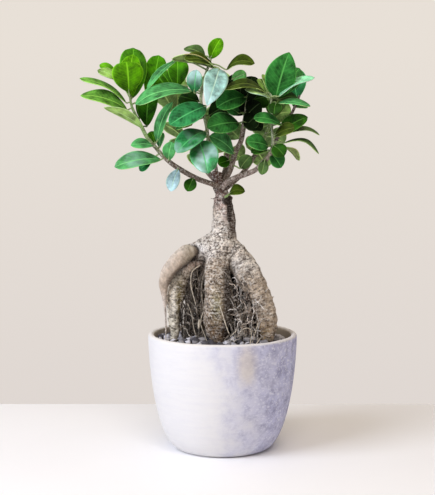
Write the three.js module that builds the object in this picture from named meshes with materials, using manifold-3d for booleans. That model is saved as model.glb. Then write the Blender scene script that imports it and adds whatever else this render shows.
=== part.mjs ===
import * as THREE from 'three';
import { mergeVertices } from 'three/addons/utils/BufferGeometryUtils.js';
import Module from 'manifold-3d';

// Ficus ginseng bonsai in a round cement pot, in millimetres.
// The origin is the centre of the pot's flat underside, +Z is up and the front of the plant faces -Y.

const wasm = await Module();
wasm.setup();

// Pot
const POT_HEIGHT = 101;
const POT_RADIUS = 65;
const FOOT_RADIUS = 39;
const LIP_RADIUS = 2.6;
const WALL = 2 * LIP_RADIUS;
const FLOOR_THICKNESS = 9;
const POT_SIDES = 36;
const BELLY_HANDLES = [[52.5, 2], [64, 45]];
const INNER_HANDLES = { upper: [1, 48], lower: [9, 1], foot: 8 };

// Soil and gravel
const SOIL_LEVEL = 92;
const SOIL_MOUND = 3;
const MOUND_SPREAD = 36;
const SOIL_ROUGHNESS = 0.45;
const SOIL_RINGS = [1, 0.72, 0.42, 0];
const GRAVEL_BED = 1.8;
const STONE_SINK = 0.8;
const STONE_COUNT = 25;
const STONE_SIZES = [2.8, 4];
const STONE_SHAPE = { length: [0.85, 1], width: [0.7, 0.95], height: [0.55, 0.8] };
const STONE_MARGIN = 0.4;
const WALL_SOIL_TOP = SOIL_LEVEL - 8;
const GOLDEN_ANGLE = 2.39996;

// Clearances between pieces that touch
const SEAT_GAP = 0.3;
const ROOT_GAP = 0.45;
const GRAFT_GAP = 0.35;
const SOIL_RADIUS = POT_RADIUS - WALL - 2 * SEAT_GAP;

// Roots and leaves
const FIBRES_PER_PARENT = 4;
const FIBRE_RADIUS = 0.9;
const FIBRE_DEPTH = 5;
const FIBRE_KNEE = { share: 0.55, sway: [-3, 3] };
const FIBRE_ANKLE = { height: 6, sway: [-2, 2] };
const FIBRE_TAPER = [1.25, 1, 0.9, 0.8];
const KNOBBLE_TWIST = [1.7, 2.3];
const WOODY = { sides: 12, knobble: 0.05 };
const SLIM = { sides: 9, knobble: 0.05 };
const KNOT_SIDES = 6;
const FIBRE_SIDES = 4;
const NEAREST_STEPS = 25;
const WELD_DISTANCE = 1e-4;
const POINT_GRID = 1e-3;
const LEAF_THICKNESS = 0.8;
const PETIOLE_WIDTH = 1.5;
const LEAF_BOW = 0.1;
const CROWN_MIDDLE = 20;
const BLADE_OUTLINE = [[0, 0.16], [0.28, 0.84], [0.6, 0.98], [0.86, 0.56], [1, 0.07]];
const SMALL_LEAF_WIDTH = 13;
const SMALL_OUTLINE = [[0, 0.2], [0.36, 0.94], [0.76, 0.78], [1, 0.1]];
const STEM_SIDES = 5;

// Trunk and roots: rows of x, y, z and radius down the middle of each limb.
const STEM = [
  [-4.5, -1, 241.5, 3.2], [-4.6, -1, 240, 4.7], [-4, 0, 232, 4.9], [-3, 0, 226, 5], [0, 0, 219.5, 7.4],
  [0.4, 0, 210, 9.2], [1, 0, 200, 9.9], [1.2, 0, 190, 10.6], [0, 0, 181, 14], [-1, 2, 170, 16],
  [-2, 3, 158, 12],
];
const SHOULDER = [
  [-31, -3, 171, 4.5], [-25, -3, 172.5, 8.4], [-15, -2, 174, 11.5], [-4, 0, 175, 13.5], [6, 0, 172, 12],
];
const ROOT_A = [
  [-22.5, -9, 172.2, 3.8], [-25.5, -10, 172.8, 5.8], [-30, -11, 171.9, 7.2], [-34.5, -12.5, 168.6, 7.5],
  [-40, -13.5, 163.4, 7.4], [-46.5, -15, 155.5, 6.4], [-50.5, -15.5, 146, 4.5],
  [-50, -15, 135, 2.7], [-49.5, -14, 125, 1.9], [-49, -13, 112, 1.6], [-49, -13, 97, 1.5],
  [-48, -12, 86, 1.2],
];
const ROOT_B = [
  [-18, -1, 166, 7.5], [-30, -3, 159, 7.2], [-36.5, -5, 147, 7.9], [-40, -6, 136, 8.3],
  [-41.5, -7, 125, 6.9],
  [-42, -7, 113, 5.7], [-41.5, -7, 101, 3.9], [-41, -6, 88, 2.6], [-40, -6, 80, 1.8],
];
const ROOT_C = [
  [0, -1, 190, 8.5], [-1.5, -3, 180, 10.5], [-4.3, -5.5, 169, 10.8], [-5, -8, 158, 10.7],
  [-3.7, -10, 144, 12.2],
  [-4, -12, 129, 12.4], [-4.8, -13, 116, 12], [-5.4, -13, 104, 10.2], [-5.4, -13, 92, 7.6],
  [-5, -12, 80, 4.6],
];
const ROOT_D = [
  [2, 0, 178, 11.5], [9, -1, 171, 11.6], [16.8, -3, 161.3, 11.6], [22.5, -5, 150.8, 11.5],
  [28.3, -7, 140.5, 11.2],
  [33.4, -8, 129.2, 10.6], [36.8, -9, 118, 9.8], [38.6, -9, 106, 8.6], [39.3, -9, 93, 7.2], [39, -8, 80, 4.6],
];
const BACK_ROOTS = [
  [
    [-6, 4, 172, 11], [-14, 10, 160, 10.5], [-20, 17, 145, 10], [-24, 22, 128, 9.2], [-26, 25, 110, 7.6],
    [-27, 26, 93, 5.6], [-27, 26, 80, 3.4],
  ],
  [
    [6, 4, 170, 11], [12, 12, 157, 10.5], [17, 20, 142, 10.6], [20, 27, 126, 9.8], [22, 31, 109, 8.4],
    [22, 33, 93, 6.4], [22, 33, 80, 3.8],
  ],
  [
    [-2, 8, 168, 8.5], [-3, 20, 160, 7.2], [-4, 29, 148, 6.2], [-5, 34, 133, 5], [-5, 37, 115, 4],
    [-5, 38, 95, 3.2],
    [-5, 38, 82, 2],
  ],
];
const KNOTS = [
  [[1.5, -6, 217, 1.6], [2, -8.6, 212, 2.9], [2.6, -8.8, 206, 3], [2, -7, 199, 1.6]],
  [[-4, -2, 217.6, 1.4], [-10, -3, 218.3, 1.1], [-11.5, -3, 218.5, 0.8]],
  [[2, -1, 216, 4.5], [6.5, -1, 218, 2.6], [8.2, -1, 220.5, 1.6]],
  [[-6, -1, 236, 2], [-10.5, -1, 238.5, 1.3]],
  [[37, -9, 134, 1.2], [43.6, -8, 132.6, 0.9], [44.6, -8, 134.4, 0.7]],
];

// Fibrous roots grow from a thick root and run down to a patch of soil: parent, first and last row that
// carries them, then the lowest and highest x and y of the patch.
const FIBRE_BEDS = [
  { parent: ROOT_B, from: 1.2, to: 4.2, x: [-34, -20], y: [-10, 10] },
  { parent: ROOT_C, from: 0.8, to: 4.5, x: [-28, -14], y: [-14, 6] },
  { parent: ROOT_C, from: 0.8, to: 4.6, x: [6, 20], y: [-16, 6] },
  { parent: ROOT_D, from: 2.2, to: 6.4, x: [12, 29], y: [-14, 8] },
];

// Leafy stems: rows of x, y, z and radius, and their leaves.
// A leaf is the base and the tip of its blade, its width, the angle in degrees that its upper face is turned
// up from facing outwards, which is the front, or the back for a leaf that starts behind the crown's middle,
// and how far it arches where that isn't the usual amount.
const LEAFY_STEMS = {
  left_branch: {
    colour: '#4a8a34',
    stem: [
      [-2, -2, 228, 2.8], [-10, -5, 231, 2.4], [-23, -9, 236, 2.2], [-40, -12, 246, 2],
      [-50, -13, 254, 1.8],
      [-57, -12, 262, 1.7], [-64, -10, 270, 1.6], [-70, -8, 281, 1.5], [-75, -6, 291, 1.3],
      [-78, -5, 298, 1.1],
      [-79, -5, 304, 0.9],
    ],
    leaves: [
      [-80, -6, 309, -81.5, -12, 334.5, 27, 5],
      [-78, 2, 304, -77.5, 12, 348, 24, -10],
      [-78, -2, 304, -77, -5, 341, 19, 0],
      [-92, 3, 327, -106, 5, 333, 8, 30],
      [-90, 0, 320, -107, -2, 328, 10, 40],
      [-82, -5, 300, -121.5, -8, 321, 18, 74],
      [-81, -9, 294, -120, -17, 306, 20, 55],
      [-67, -12, 278, -100, -20, 296, 13, 128],
      [-65, -2, 280, -62, 6, 312, 18, 10],
      [-71, 0, 287, -69, 6, 305, 12, -10],
      [-63, 6, 302, -55.5, 16, 342, 19, 0],
      [-56, -10, 267, -43, -4, 301, 16, 50],
      [-46, -14, 251, -43, -18, 267, 12, 20],
      [-54, -6, 262, -52, -2, 275, 9, 40],
      [-58, -4, 265, -62, 0, 276, 10, 10],
      [-58, -12, 264, -78, -16, 264, 13, 50],
      [-52, -15, 252, -91, -26, 246, 20, 50],
      [-61, -12, 250, -72, -12, 240.5, 9, 30],
      [-38, -14, 244, -44, -20, 225, 12, 20],
      [-25, -11, 236, -30, -17, 225, 11, 10],
    ],
  },
  centre_left_stem: {
    colour: '#3f8a4c',
    stem: [
      [-5, -2, 238, 1.8], [-6, -4, 246, 1.6], [-8, -6, 255, 1.6], [-12, -9, 268, 1.5], [-14, -11, 281, 1.5],
      [-18, -13, 298, 1.4], [-18, -13, 308, 1.3], [-15, -11, 322, 1.2], [-10, -8, 337, 1],
    ],
    leaves: [
      [-26, -16, 310, -73, -30, 300, 24, 55],
      [-39, -8, 336, -64, -18, 311, 9, 50],
      [-39, -2, 314, -39, 6, 338, 18, 0],
      [-44, -1, 314, -53, 1, 327, 11, 20],
      [-10.5, -8, 337, -1.5, -12, 354, 13, 15],
      [-15, -4, 340, -33, 2, 347, 14, 50],
      [-8, -12, 332, -32, -22, 336, 18, 58],
      [-5, -14, 328, -43, -14, 337, 16, 112],
      [3, -8, 328, 27, -14, 333, 20, 60, 0.2],
      [-3, -15, 328.5, -13, -36, 297, 20, 0],
      [-24, -17, 308, -22, -22, 327, 14, 20],
      [-14, -17, 297, -44, -38, 281, 23, 30],
      [-15, -14, 276, -38, -42, 258, 21, 35],
      [-17, -14, 287, -39, -26, 277, 14, 65],
      [-20, -18, 268, -12, -44, 241, 24, 0],
      [-12, -7, 289, 4, -2, 299, 18, 10],
      [-20, -9, 301, -37, 0, 306, 16, 20],
    ],
  },
  centre_right_branch: {
    colour: '#33733a',
    stem: [
      [0, 2, 230, 3], [3, 3, 236, 2.8], [6.5, 4, 243, 2.6], [9, 4, 251, 2.5], [12, 3, 260, 2.4],
      [16, 2, 268, 2.3],
      [18, 1, 279, 2.1], [20, 0, 292, 1.7], [21, -1, 306, 1.3], [20, -2, 318, 1],
    ],
    leaves: [
      [14, -6, 283, -13, -26, 279, 20, 25],
      [10, -2, 257, -11, -14, 272, 17, 40],
      [20, -8, 305, -5, -20, 296, 20, 30],
      [14, -8, 291, 3, -16, 297, 11, 20],
      [6, 0, 251, -4, -6, 248, 11, 20],
      [15, -2, 244, 24, -6, 255, 12, 10],
      [8, -6, 320, 20, -8, 325, 10, 0],
      [18, -3, 284, 33, -10, 278, 15, 35],
      [21, 4, 300, 38, 20, 306, 20, 20],
      [19, 5, 288, 36, 16, 283, 20, 30],
      [20, 4, 312, 10, 26, 322, 20, 0],
      [21, -4, 290, 32, -8, 300, 17, 15],
      [20, -3, 300, 25, -9, 322, 16, 0],
      [18, 3, 290, 2, 8, 304, 20, 15],
      [20, 7, 304, 29, 13, 323, 18, 0],
      [18, 2, 309, 4, 6, 322, 18, 10],
      [19, -3, 279, 30, -8, 290, 17, 30],
    ],
  },
  right_branch: {
    colour: '#3a7a3c',
    stem: [
      [-1, -2, 227, 2.8], [5, -3, 233, 2.6], [11, -5, 236, 2.4], [19, -8, 239, 2.3], [28, -10, 243, 2.2],
      [34, -11, 249, 2.1], [39, -12, 254, 2], [42, -12, 260, 1.8], [43, -12, 267, 1.4], [42, -12, 277, 1.1],
      [41.5, -12, 292, 1], [41, -12, 303, 1], [41, -12, 308, 0.9],
    ],
    leaves: [
      [39, -15, 263, 20, -26, 267, 16, 35],
      [38, -14, 260, 24, -20, 258, 13, 60],
      [43, -15, 264, 52, -21, 255, 14, 20],
      [41, -12, 257, 50, -14, 245, 14, 20],
      [36, -14, 252, 33, -17, 239, 9, 10],
      [52, -12, 266, 82, -14, 257, 15, 75, 0.2],
      [53, -8, 263, 66, -6, 251, 12, 110],
      [57, -6, 275, 83, -6, 273, 14, 72, 0.16],
      [44, -14, 272, 61, -20, 279, 17, 55],
      [47, -10, 272, 72, -14, 288, 20, 50],
      [50, -18, 281, 26, -24, 287, 18, 60],
      [45, -12, 304, 56, -16, 342, 26, 5],
      [48, -6, 306, 66, 2, 330, 18, 10],
      [47, -16, 305, 77, -20, 321, 14, 66],
      [46, -15, 299, 74, -19, 297, 14, 68],
      [48, -4, 303, 64, 6, 306, 14, 40],
      [45, -16, 300, 43, -24, 290, 12, 10],
      [40, -15, 304, 19, -20, 311, 14, 62],
      [37, -13, 308, 2, -24, 311, 14, 60, 0.2],
      [39, -7, 306, 31, 0, 321, 12, 30],
      [40, -8, 307, 35, 4, 325, 10, 40],
    ],
  },
  right_back_twig: {
    colour: '#35733c',
    stem: [[39, -10, 254, 1.8], [46, 0, 268, 1.6], [57, 9, 287, 1.4], [61, 12, 293, 1.2], [67, 14, 307, 1]],
    leaves: [
      [62, 13, 297, 70, 24, 302, 18, 30],
      [65, 15, 304, 60, 26, 332, 22, 0],
    ],
  },
  back_left_branch: {
    colour: '#2f6b35',
    stem: [
      [-4, 2, 231, 2.4], [-16, 14, 244, 2.2], [-28, 24, 262, 2], [-38, 30, 280, 1.7], [-44, 33, 300, 1.2],
    ],
    leaves: [
      [-26, 27, 258, -18, 50, 244, 20, 20],
      [-34, 31, 272, -38, 56, 258, 22, 25],
      [-34, 26, 270, -52, 24, 283, 18, 45],
      [-41, 34, 290, -28, 58, 282, 22, 20],
      [-44, 34, 298, -57, 50, 306, 22, 45],
      [-45, 34, 302, -41, 46, 334, 24, 10],
      [-44, 36, 301, -32, 58, 320, 22, 35],
      [-43, 31, 294, -54, 12, 312, 20, 20],
    ],
  },
  back_centre_branch: {
    colour: '#2f6b35',
    stem: [
      [-2, 2, 234, 2.3], [2, 10, 242, 2.2], [4, 20, 256, 2], [4, 30, 274, 1.8], [2, 37, 292, 1.5],
      [0, 40, 308, 1.1],
    ],
    leaves: [
      [4, 24, 260, 18, 44, 252, 20, 30],
      [4, 28, 268, -12, 50, 258, 22, 25],
      [4, 33, 280, 16, 58, 270, 22, 20],
      [2, 36, 290, -14, 60, 284, 22, 30],
      [1, 38, 298, 20, 54, 304, 24, 40],
      [0, 40, 306, -6, 52, 331, 24, 10],
      [0, 41, 307, 8, 68, 312, 22, 50],
      [-2, 36, 303, -14, 16, 326, 22, 20],
      [4, 35, 292, 14, 20, 308, 20, 30],
    ],
  },
  back_right_branch: {
    colour: '#2f6b35',
    stem: [[2, 3, 226, 2.4], [16, 14, 238, 2.2], [28, 25, 254, 2], [38, 32, 272, 1.7], [46, 36, 294, 1.2]],
    leaves: [
      [31, 28, 258, 40, 48, 244, 20, 20],
      [38, 33, 272, 56, 46, 266, 22, 30],
      [42, 35, 282, 28, 56, 276, 22, 20],
      [45, 36, 290, 62, 52, 294, 22, 40],
      [46, 37, 294, 50, 48, 326, 24, 10],
      [34, 29, 264, 22, 46, 262, 20, 30],
      [45, 33, 288, 50, 14, 306, 20, 20],
    ],
  },
  stem_sprout: {
    colour: '#2f7a2c',
    stem: [[1, -6, 219, 1.2], [3.5, -9, 220.5, 1.1], [5, -10, 222, 0.8]],
    leaves: [[5, -10, 222, 19, -16, 225, 12, 50, 0.25]],
  },
};

let randomState = 20471;

/** Returns the next seeded draw between 0 and 1. */
function random() {
  randomState = (randomState * 48271) % 2147483647;
  return randomState / 2147483647;
}

/** Returns a seeded draw between two values. */
function between([low, high]) {
  return low + (high - low) * random();
}

/** Joins a geometry's repeated points and drops the triangles that this leaves without area. */
function weld(geometry) {
  const bare = geometry.clone();
  bare.deleteAttribute('normal');
  bare.deleteAttribute('uv');
  const merged = mergeVertices(bare, WELD_DISTANCE);
  const corners = merged.index.array;
  const triangles = [];
  for (let i = 0; i < corners.length; i += 3) {
    const [a, b, c] = [corners[i], corners[i + 1], corners[i + 2]];
    if (a !== b && b !== c && c !== a) {
      triangles.push(a, b, c);
    }
  }
  merged.setIndex(triangles);
  return merged;
}

/** Turns a closed geometry into a solid that can be joined and cut. */
function toSolid(geometry) {
  const welded = weld(geometry);
  const mesh = new wasm.Mesh({
    numProp: 3,
    vertProperties: new Float32Array(welded.attributes.position.array),
    triVerts: new Uint32Array(welded.index.array),
  });
  return new wasm.Manifold(mesh);
}

/** Turns a solid back into a geometry, keeping its largest body, with its points on a fine grid. */
function toGeometry(solid) {
  const bodies = solid.decompose().sort((a, b) => b.volume() - a.volume());
  const { vertProperties, triVerts } = bodies[0].getMesh();
  const positions = Float32Array.from(vertProperties, (value) => Math.round(value / POINT_GRID) * POINT_GRID);
  const geometry = new THREE.BufferGeometry();
  geometry.setAttribute('position', new THREE.BufferAttribute(positions, 3));
  geometry.setIndex(new THREE.BufferAttribute(new Uint32Array(triVerts), 1));
  const welded = weld(geometry);
  welded.computeVertexNormals();
  return welded;
}

/** Joins a list of solids. */
function join(solids) {
  return solids.reduce((whole, piece) => whole.add(piece));
}

/** Builds a geometry from points and the corners of its triangles. */
function polyhedron(points, triangles) {
  const geometry = new THREE.BufferGeometry();
  geometry.setAttribute('position', new THREE.Float32BufferAttribute(points.flatMap((p) => p.toArray()), 3));
  geometry.setIndex(triangles.flat());
  return geometry;
}

/** Returns the x, y, z and radius of a limb at a place counted in rows, on a smooth curve through them. */
function rowAt(rows, place) {
  const last = rows.length - 1;
  const i = Math.min(Math.floor(place), last - 1);
  const t = place - i;
  const [p, q, r, s] = [rows[Math.max(i - 1, 0)], rows[i], rows[i + 1], rows[Math.min(i + 2, last)]];
  return q.map((value, k) => {
    const square = 2 * p[k] - 5 * q[k] + 4 * r[k] - s[k];
    const cube = 3 * q[k] - p[k] - 3 * r[k] + s[k];
    return value + 0.5 * ((r[k] - p[k]) * t + square * t ** 2 + cube * t ** 3);
  });
}

/** Returns the point of a limb's centre line at a place counted in rows. */
function pointAt(rows, place) {
  return new THREE.Vector3(...rowAt(rows, place));
}

/** Sweeps an uneven round section along the rows of a limb, grown all round by the clearance. */
function limb(rows, { sides, perRow = 1, knobble = 0, clearance = 0 }) {
  const count = (rows.length - 1) * perRow + 1;
  const places = Array.from({ length: count }, (_, i) => i / perRow);
  const centres = places.map((place) => pointAt(rows, place));
  const first = centres[0].clone().sub(centres[1]).setLength(clearance);
  const end = centres[count - 1].clone().sub(centres[count - 2]).setLength(clearance);
  centres[0].add(first);
  centres[count - 1].add(end);
  const points = [];
  const across = new THREE.Vector3(0, -1, 0);
  places.forEach((place, i) => {
    const along = centres[Math.min(i + 1, count - 1)].clone().sub(centres[Math.max(i - 1, 0)]).normalize();
    across.addScaledVector(along, -across.dot(along)).normalize();
    const beside = along.clone().cross(across);
    const radius = rowAt(rows, place)[3];
    for (let k = 0; k < sides; k += 1) {
      const turn = (k / sides) * 2 * Math.PI;
      const wide = Math.sin(2 * turn + place * KNOBBLE_TWIST[0]);
      const narrow = Math.sin(3 * turn - place * KNOBBLE_TWIST[1]);
      const reach = radius * (1 + knobble * (wide + 0.6 * narrow)) + clearance;
      const spoke = across.clone().multiplyScalar(Math.cos(turn)).addScaledVector(beside, Math.sin(turn));
      points.push(centres[i].clone().addScaledVector(spoke, reach));
    }
  });
  points.push(centres[0].clone(), centres[count - 1].clone());
  const triangles = [];
  for (let k = 0; k < sides; k += 1) {
    const next = (k + 1) % sides;
    for (let i = 0; i < count - 1; i += 1) {
      const [a, b] = [i * sides + k, i * sides + next];
      triangles.push([a, b, b + sides], [a, b + sides, a + sides]);
    }
    triangles.push([count * sides, next, k]);
    triangles.push([count * sides + 1, (count - 1) * sides + k, (count - 1) * sides + next]);
  }
  return toSolid(polyhedron(points, triangles));
}

/** Returns the height of the soil's surface. */
function soilHeight(x, y) {
  const mound = SOIL_MOUND * Math.exp(-((Math.hypot(x, y) / MOUND_SPREAD) ** 2));
  const crumbs = Math.sin(x * 0.15 + 1.2) * Math.cos(y * 0.13) + 0.6 * Math.sin(x * 0.09 - y * 0.12 + 0.7);
  return SOIL_LEVEL + mound + SOIL_ROUGHNESS * crumbs;
}

/** Returns the points of the pot's inner wall from under the lip down to its floor, set in by the gap. */
function innerWall(gap) {
  const top = POT_RADIUS - WALL - gap;
  const floor = FLOOR_THICKNESS + gap;
  const wall = new THREE.CubicBezierCurve(
    new THREE.Vector2(top, POT_HEIGHT - LIP_RADIUS),
    new THREE.Vector2(top - INNER_HANDLES.upper[0], INNER_HANDLES.upper[1]),
    new THREE.Vector2(top - INNER_HANDLES.lower[0], floor + INNER_HANDLES.lower[1]),
    new THREE.Vector2(FOOT_RADIUS - INNER_HANDLES.foot, floor),
  );
  return wall.getPoints(4);
}

/** Builds the pot: a turned shell with a round lip and a flat underside. */
function makePot() {
  const belly = new THREE.CubicBezierCurve(
    new THREE.Vector2(FOOT_RADIUS, 0),
    ...BELLY_HANDLES.map((handle) => new THREE.Vector2(...handle)),
    new THREE.Vector2(POT_RADIUS, POT_HEIGHT - LIP_RADIUS),
  );
  const lip = new THREE.EllipseCurve(
    POT_RADIUS - LIP_RADIUS, POT_HEIGHT - LIP_RADIUS, LIP_RADIUS, LIP_RADIUS, 0, Math.PI,
  );
  const outline = [
    new THREE.Vector2(0, 0),
    ...belly.getPoints(9),
    ...lip.getPoints(4).slice(1, -1),
    ...innerWall(0),
    new THREE.Vector2(0, FLOOR_THICKNESS),
  ];
  return turned(outline);
}

/** Turns an outline of radius and height round the upright axis. */
function turned(outline) {
  return new THREE.LatheGeometry(outline, POT_SIDES).rotateX(Math.PI / 2);
}

/** Shifts what is turned at or above the soil level so that it follows the soil's surface. */
function followSoil(geometry) {
  const position = geometry.attributes.position;
  for (let i = 0; i < position.count; i += 1) {
    const [x, y, z] = [position.getX(i), position.getY(i), position.getZ(i)];
    if (z > SOIL_LEVEL - 1) {
      position.setZ(i, soilHeight(x, y) + z - SOIL_LEVEL);
    }
  }
  return geometry;
}

/** Builds the soil as it fills the pot, before the roots' holes are cut. */
function makeSoil() {
  const wall = innerWall(SEAT_GAP).filter((p) => p.y < WALL_SOIL_TOP);
  const surface = SOIL_RINGS.map((share) => new THREE.Vector2(SOIL_RADIUS * share, SOIL_LEVEL));
  const outline = [new THREE.Vector2(0, FLOOR_THICKNESS + SEAT_GAP), ...wall.reverse(), ...surface];
  return toSolid(followSoil(turned(outline)));
}

/** Builds one stone, squashed and turned at random, that stands in the bed at a place. */
function makeStone(x, y, size) {
  const height = size * between(STONE_SHAPE.height);
  const stone = new THREE.IcosahedronGeometry(1, 0);
  stone.rotateX(between([0, 1]));
  stone.scale(size * between(STONE_SHAPE.length), size * between(STONE_SHAPE.width), height);
  stone.rotateZ(between([0, 2 * Math.PI]));
  stone.translate(x, y, soilHeight(x, y) + GRAVEL_BED + height - STONE_SINK);
  return toSolid(stone);
}

/** Builds the gravel: stones by a golden-angle rule, sunk in a thin bed that lies on the soil. */
function makeGravel() {
  const outer = SOIL_RADIUS - SEAT_GAP;
  const inner = SOIL_RADIUS * SOIL_RINGS[1];
  const outline = [
    new THREE.Vector2(inner, SOIL_LEVEL + SEAT_GAP),
    new THREE.Vector2(outer, SOIL_LEVEL + SEAT_GAP),
    new THREE.Vector2(outer, SOIL_LEVEL + GRAVEL_BED),
    new THREE.Vector2(inner, SOIL_LEVEL + GRAVEL_BED),
    new THREE.Vector2(inner, SOIL_LEVEL + SEAT_GAP),
  ];
  const pieces = [toSolid(followSoil(turned(outline)))];
  for (let i = 0; i < STONE_COUNT; i += 1) {
    const size = between(STONE_SIZES);
    const reach = between([inner + 1, outer - size - STONE_MARGIN]);
    const turn = i * GOLDEN_ANGLE;
    pieces.push(makeStone(reach * Math.cos(turn), reach * Math.sin(turn), size));
  }
  return join(pieces);
}

/** Returns the rows of every fibrous root. */
function fibreRows() {
  const fibres = [];
  for (const bed of FIBRE_BEDS) {
    for (let i = 0; i < FIBRES_PER_PARENT; i += 1) {
      const start = pointAt(bed.parent, bed.from + ((bed.to - bed.from) * (i + 0.5)) / FIBRES_PER_PARENT);
      const [x, y] = [between(bed.x), between(bed.y)];
      const ground = soilHeight(x, y);
      const kneeHeight = ground + FIBRE_KNEE.share * (start.z - ground);
      const points = [
        start.toArray(),
        [x + between(FIBRE_KNEE.sway), y + between(FIBRE_KNEE.sway), kneeHeight],
        [x + between(FIBRE_ANKLE.sway), y + between(FIBRE_ANKLE.sway), ground + FIBRE_ANKLE.height],
        [x, y, ground - FIBRE_DEPTH],
      ];
      fibres.push(points.map((point, k) => [...point, FIBRE_RADIUS * FIBRE_TAPER[k]]));
    }
  }
  return fibres;
}

/** Builds the stem with its shoulder and knots, which carry the leafy stems, grown by the clearance. */
function makeStemTop(clearance) {
  const woody = [STEM, SHOULDER].map((rows) => limb(rows, { ...WOODY, clearance }));
  const small = KNOTS.map((rows) => limb(rows, { sides: KNOT_SIDES, clearance }));
  return join([...woody, ...small]);
}

/** Builds the stem, caudex and roots as one body, grown all round by the clearance. */
function makeTrunk(fibres, clearance) {
  const thick = [ROOT_C, ROOT_D].map((rows) => limb(rows, { ...WOODY, clearance }));
  const slim = [ROOT_A, ROOT_B, ...BACK_ROOTS].map((rows) => limb(rows, { ...SLIM, clearance }));
  const fine = fibres.map((rows) => limb(rows, { sides: FIBRE_SIDES, clearance }));
  return join([makeStemTop(clearance), ...thick, ...slim, ...fine]);
}

/** Returns the point of a stem's centre line that is nearest to a place. */
function nearestOn(rows, place) {
  let best = pointAt(rows, 0);
  const steps = (rows.length - 1) * NEAREST_STEPS;
  for (let i = 1; i <= steps; i += 1) {
    const point = pointAt(rows, i / NEAREST_STEPS);
    if (point.distanceToSquared(place) < best.distanceToSquared(place)) {
      best = point;
    }
  }
  return best;
}

/** Builds one leaf: a petiole from the stem and an arched blade. */
function makeLeaf(row, stem) {
  const base = new THREE.Vector3(...row.slice(0, 3));
  const tip = new THREE.Vector3(...row.slice(3, 6));
  const [width, roll, bow = LEAF_BOW] = row.slice(6);
  const span = tip.clone().sub(base);
  const along = span.clone().normalize();
  const outwards = new THREE.Vector3(0, base.y > CROWN_MIDDLE ? 1 : -1, 0);
  const flat = outwards.addScaledVector(along, -outwards.dot(along)).normalize();
  const up = along.clone().cross(flat);
  if (up.z < 0) {
    up.negate();
  }
  const angle = THREE.MathUtils.degToRad(roll);
  const face = flat.multiplyScalar(Math.cos(angle)).addScaledVector(up, Math.sin(angle));
  const foot = nearestOn(stem, base);
  const outline = width > SMALL_LEAF_WIDTH ? BLADE_OUTLINE : SMALL_OUTLINE;
  const arch = 4 * bow * span.length();
  const stations = outline.map(([t, share]) => ({
    centre: base.clone().addScaledVector(span, t).addScaledVector(face, arch * t * (1 - t)),
    half: 0.5 * Math.max(width * share, PETIOLE_WIDTH),
    depth: LEAF_THICKNESS,
    heading: along,
  }));
  stations[0].heading = base.clone().sub(foot).normalize().add(along);
  stations[0].depth = PETIOLE_WIDTH;
  stations.unshift({
    centre: foot.clone().addScaledVector(face, 0.5 * PETIOLE_WIDTH),
    half: 0.5 * PETIOLE_WIDTH,
    depth: PETIOLE_WIDTH,
    heading: base.clone().sub(foot),
  });
  const points = [];
  for (const { centre, half, depth, heading } of stations) {
    const beside = heading.clone().cross(face).setLength(half);
    const sink = face.clone().multiplyScalar(-depth);
    const upper = [centre.clone().sub(beside), centre.clone().add(beside)];
    points.push(...upper, ...upper.map((p) => p.clone().add(sink)));
  }
  const triangles = [];
  const quad = (a, b, c, d) => triangles.push([a, b, c], [a, c, d]);
  for (let i = 0; i < stations.length - 1; i += 1) {
    const [n, m] = [4 * i, 4 * i + 4];
    quad(n, n + 1, m + 1, m);
    quad(n + 3, n + 2, m + 2, m + 3);
    quad(n + 2, n, m, m + 2);
    quad(n + 1, n + 3, m + 3, m + 1);
  }
  const end = 4 * (stations.length - 1);
  quad(1, 0, 2, 3);
  quad(end, end + 1, end + 3, end + 2);
  return toSolid(polyhedron(points, triangles));
}

/** Builds a leafy stem with its leaves, cut back to clear what it grows from. */
function makeLeafyStem({ stem, leaves }, carriers) {
  const whole = join([limb(stem, { sides: STEM_SIDES }), ...leaves.map((row) => makeLeaf(row, stem))]);
  return carriers.reduce((rest, carrier) => rest.subtract(carrier), whole);
}

/** Names a piece and gives it its finish. */
function addPiece(group, name, geometry, finish) {
  const piece = new THREE.Mesh(geometry, new THREE.MeshStandardMaterial({ metalness: 0, ...finish }));
  piece.name = name;
  group.add(piece);
}

const bonsai = new THREE.Group();
const fibres = fibreRows();
const rootHoles = makeTrunk(fibres, ROOT_GAP);
const soil = makeSoil();
const gravel = makeGravel();

addPiece(bonsai, 'pot', toGeometry(toSolid(makePot())), { color: '#dcdce2', roughness: 0.8 });
addPiece(bonsai, 'soil', toGeometry(soil.subtract(rootHoles)), { color: '#2c2622', roughness: 0.95 });
addPiece(bonsai, 'gravel', toGeometry(gravel.subtract(rootHoles)), { color: '#a9abb2', roughness: 0.85 });
addPiece(bonsai, 'trunk', toGeometry(makeTrunk(fibres, 0)), { color: '#8f8270', roughness: 0.8 });

const carriers = [makeStemTop(GRAFT_GAP)];
for (const [name, spray] of Object.entries(LEAFY_STEMS)) {
  addPiece(bonsai, name, toGeometry(makeLeafyStem(spray, carriers)), { color: spray.colour, roughness: 0.4 });
  carriers.push(limb(spray.stem, { sides: STEM_SIDES, clearance: GRAFT_GAP }));
}

export default bonsai;
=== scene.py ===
"""Looks for a small ficus ginseng bonsai that grows in a round whitewashed cement pot.

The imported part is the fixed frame. Each class below builds the finer piece that stands for one or more
of its nodes, in the place where the node is. Sizes are in millimetres until they go into a mesh, and
meshes are in metres. The origin is the centre of the pot's underside and the front faces -Y.
"""

from __future__ import annotations

import logging
import math
import random
from dataclasses import dataclass, field
from enum import Enum
from typing import Any, Iterable, Optional, Sequence, Union

import bmesh
import bpy
import numpy as np
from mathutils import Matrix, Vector, noise

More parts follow.
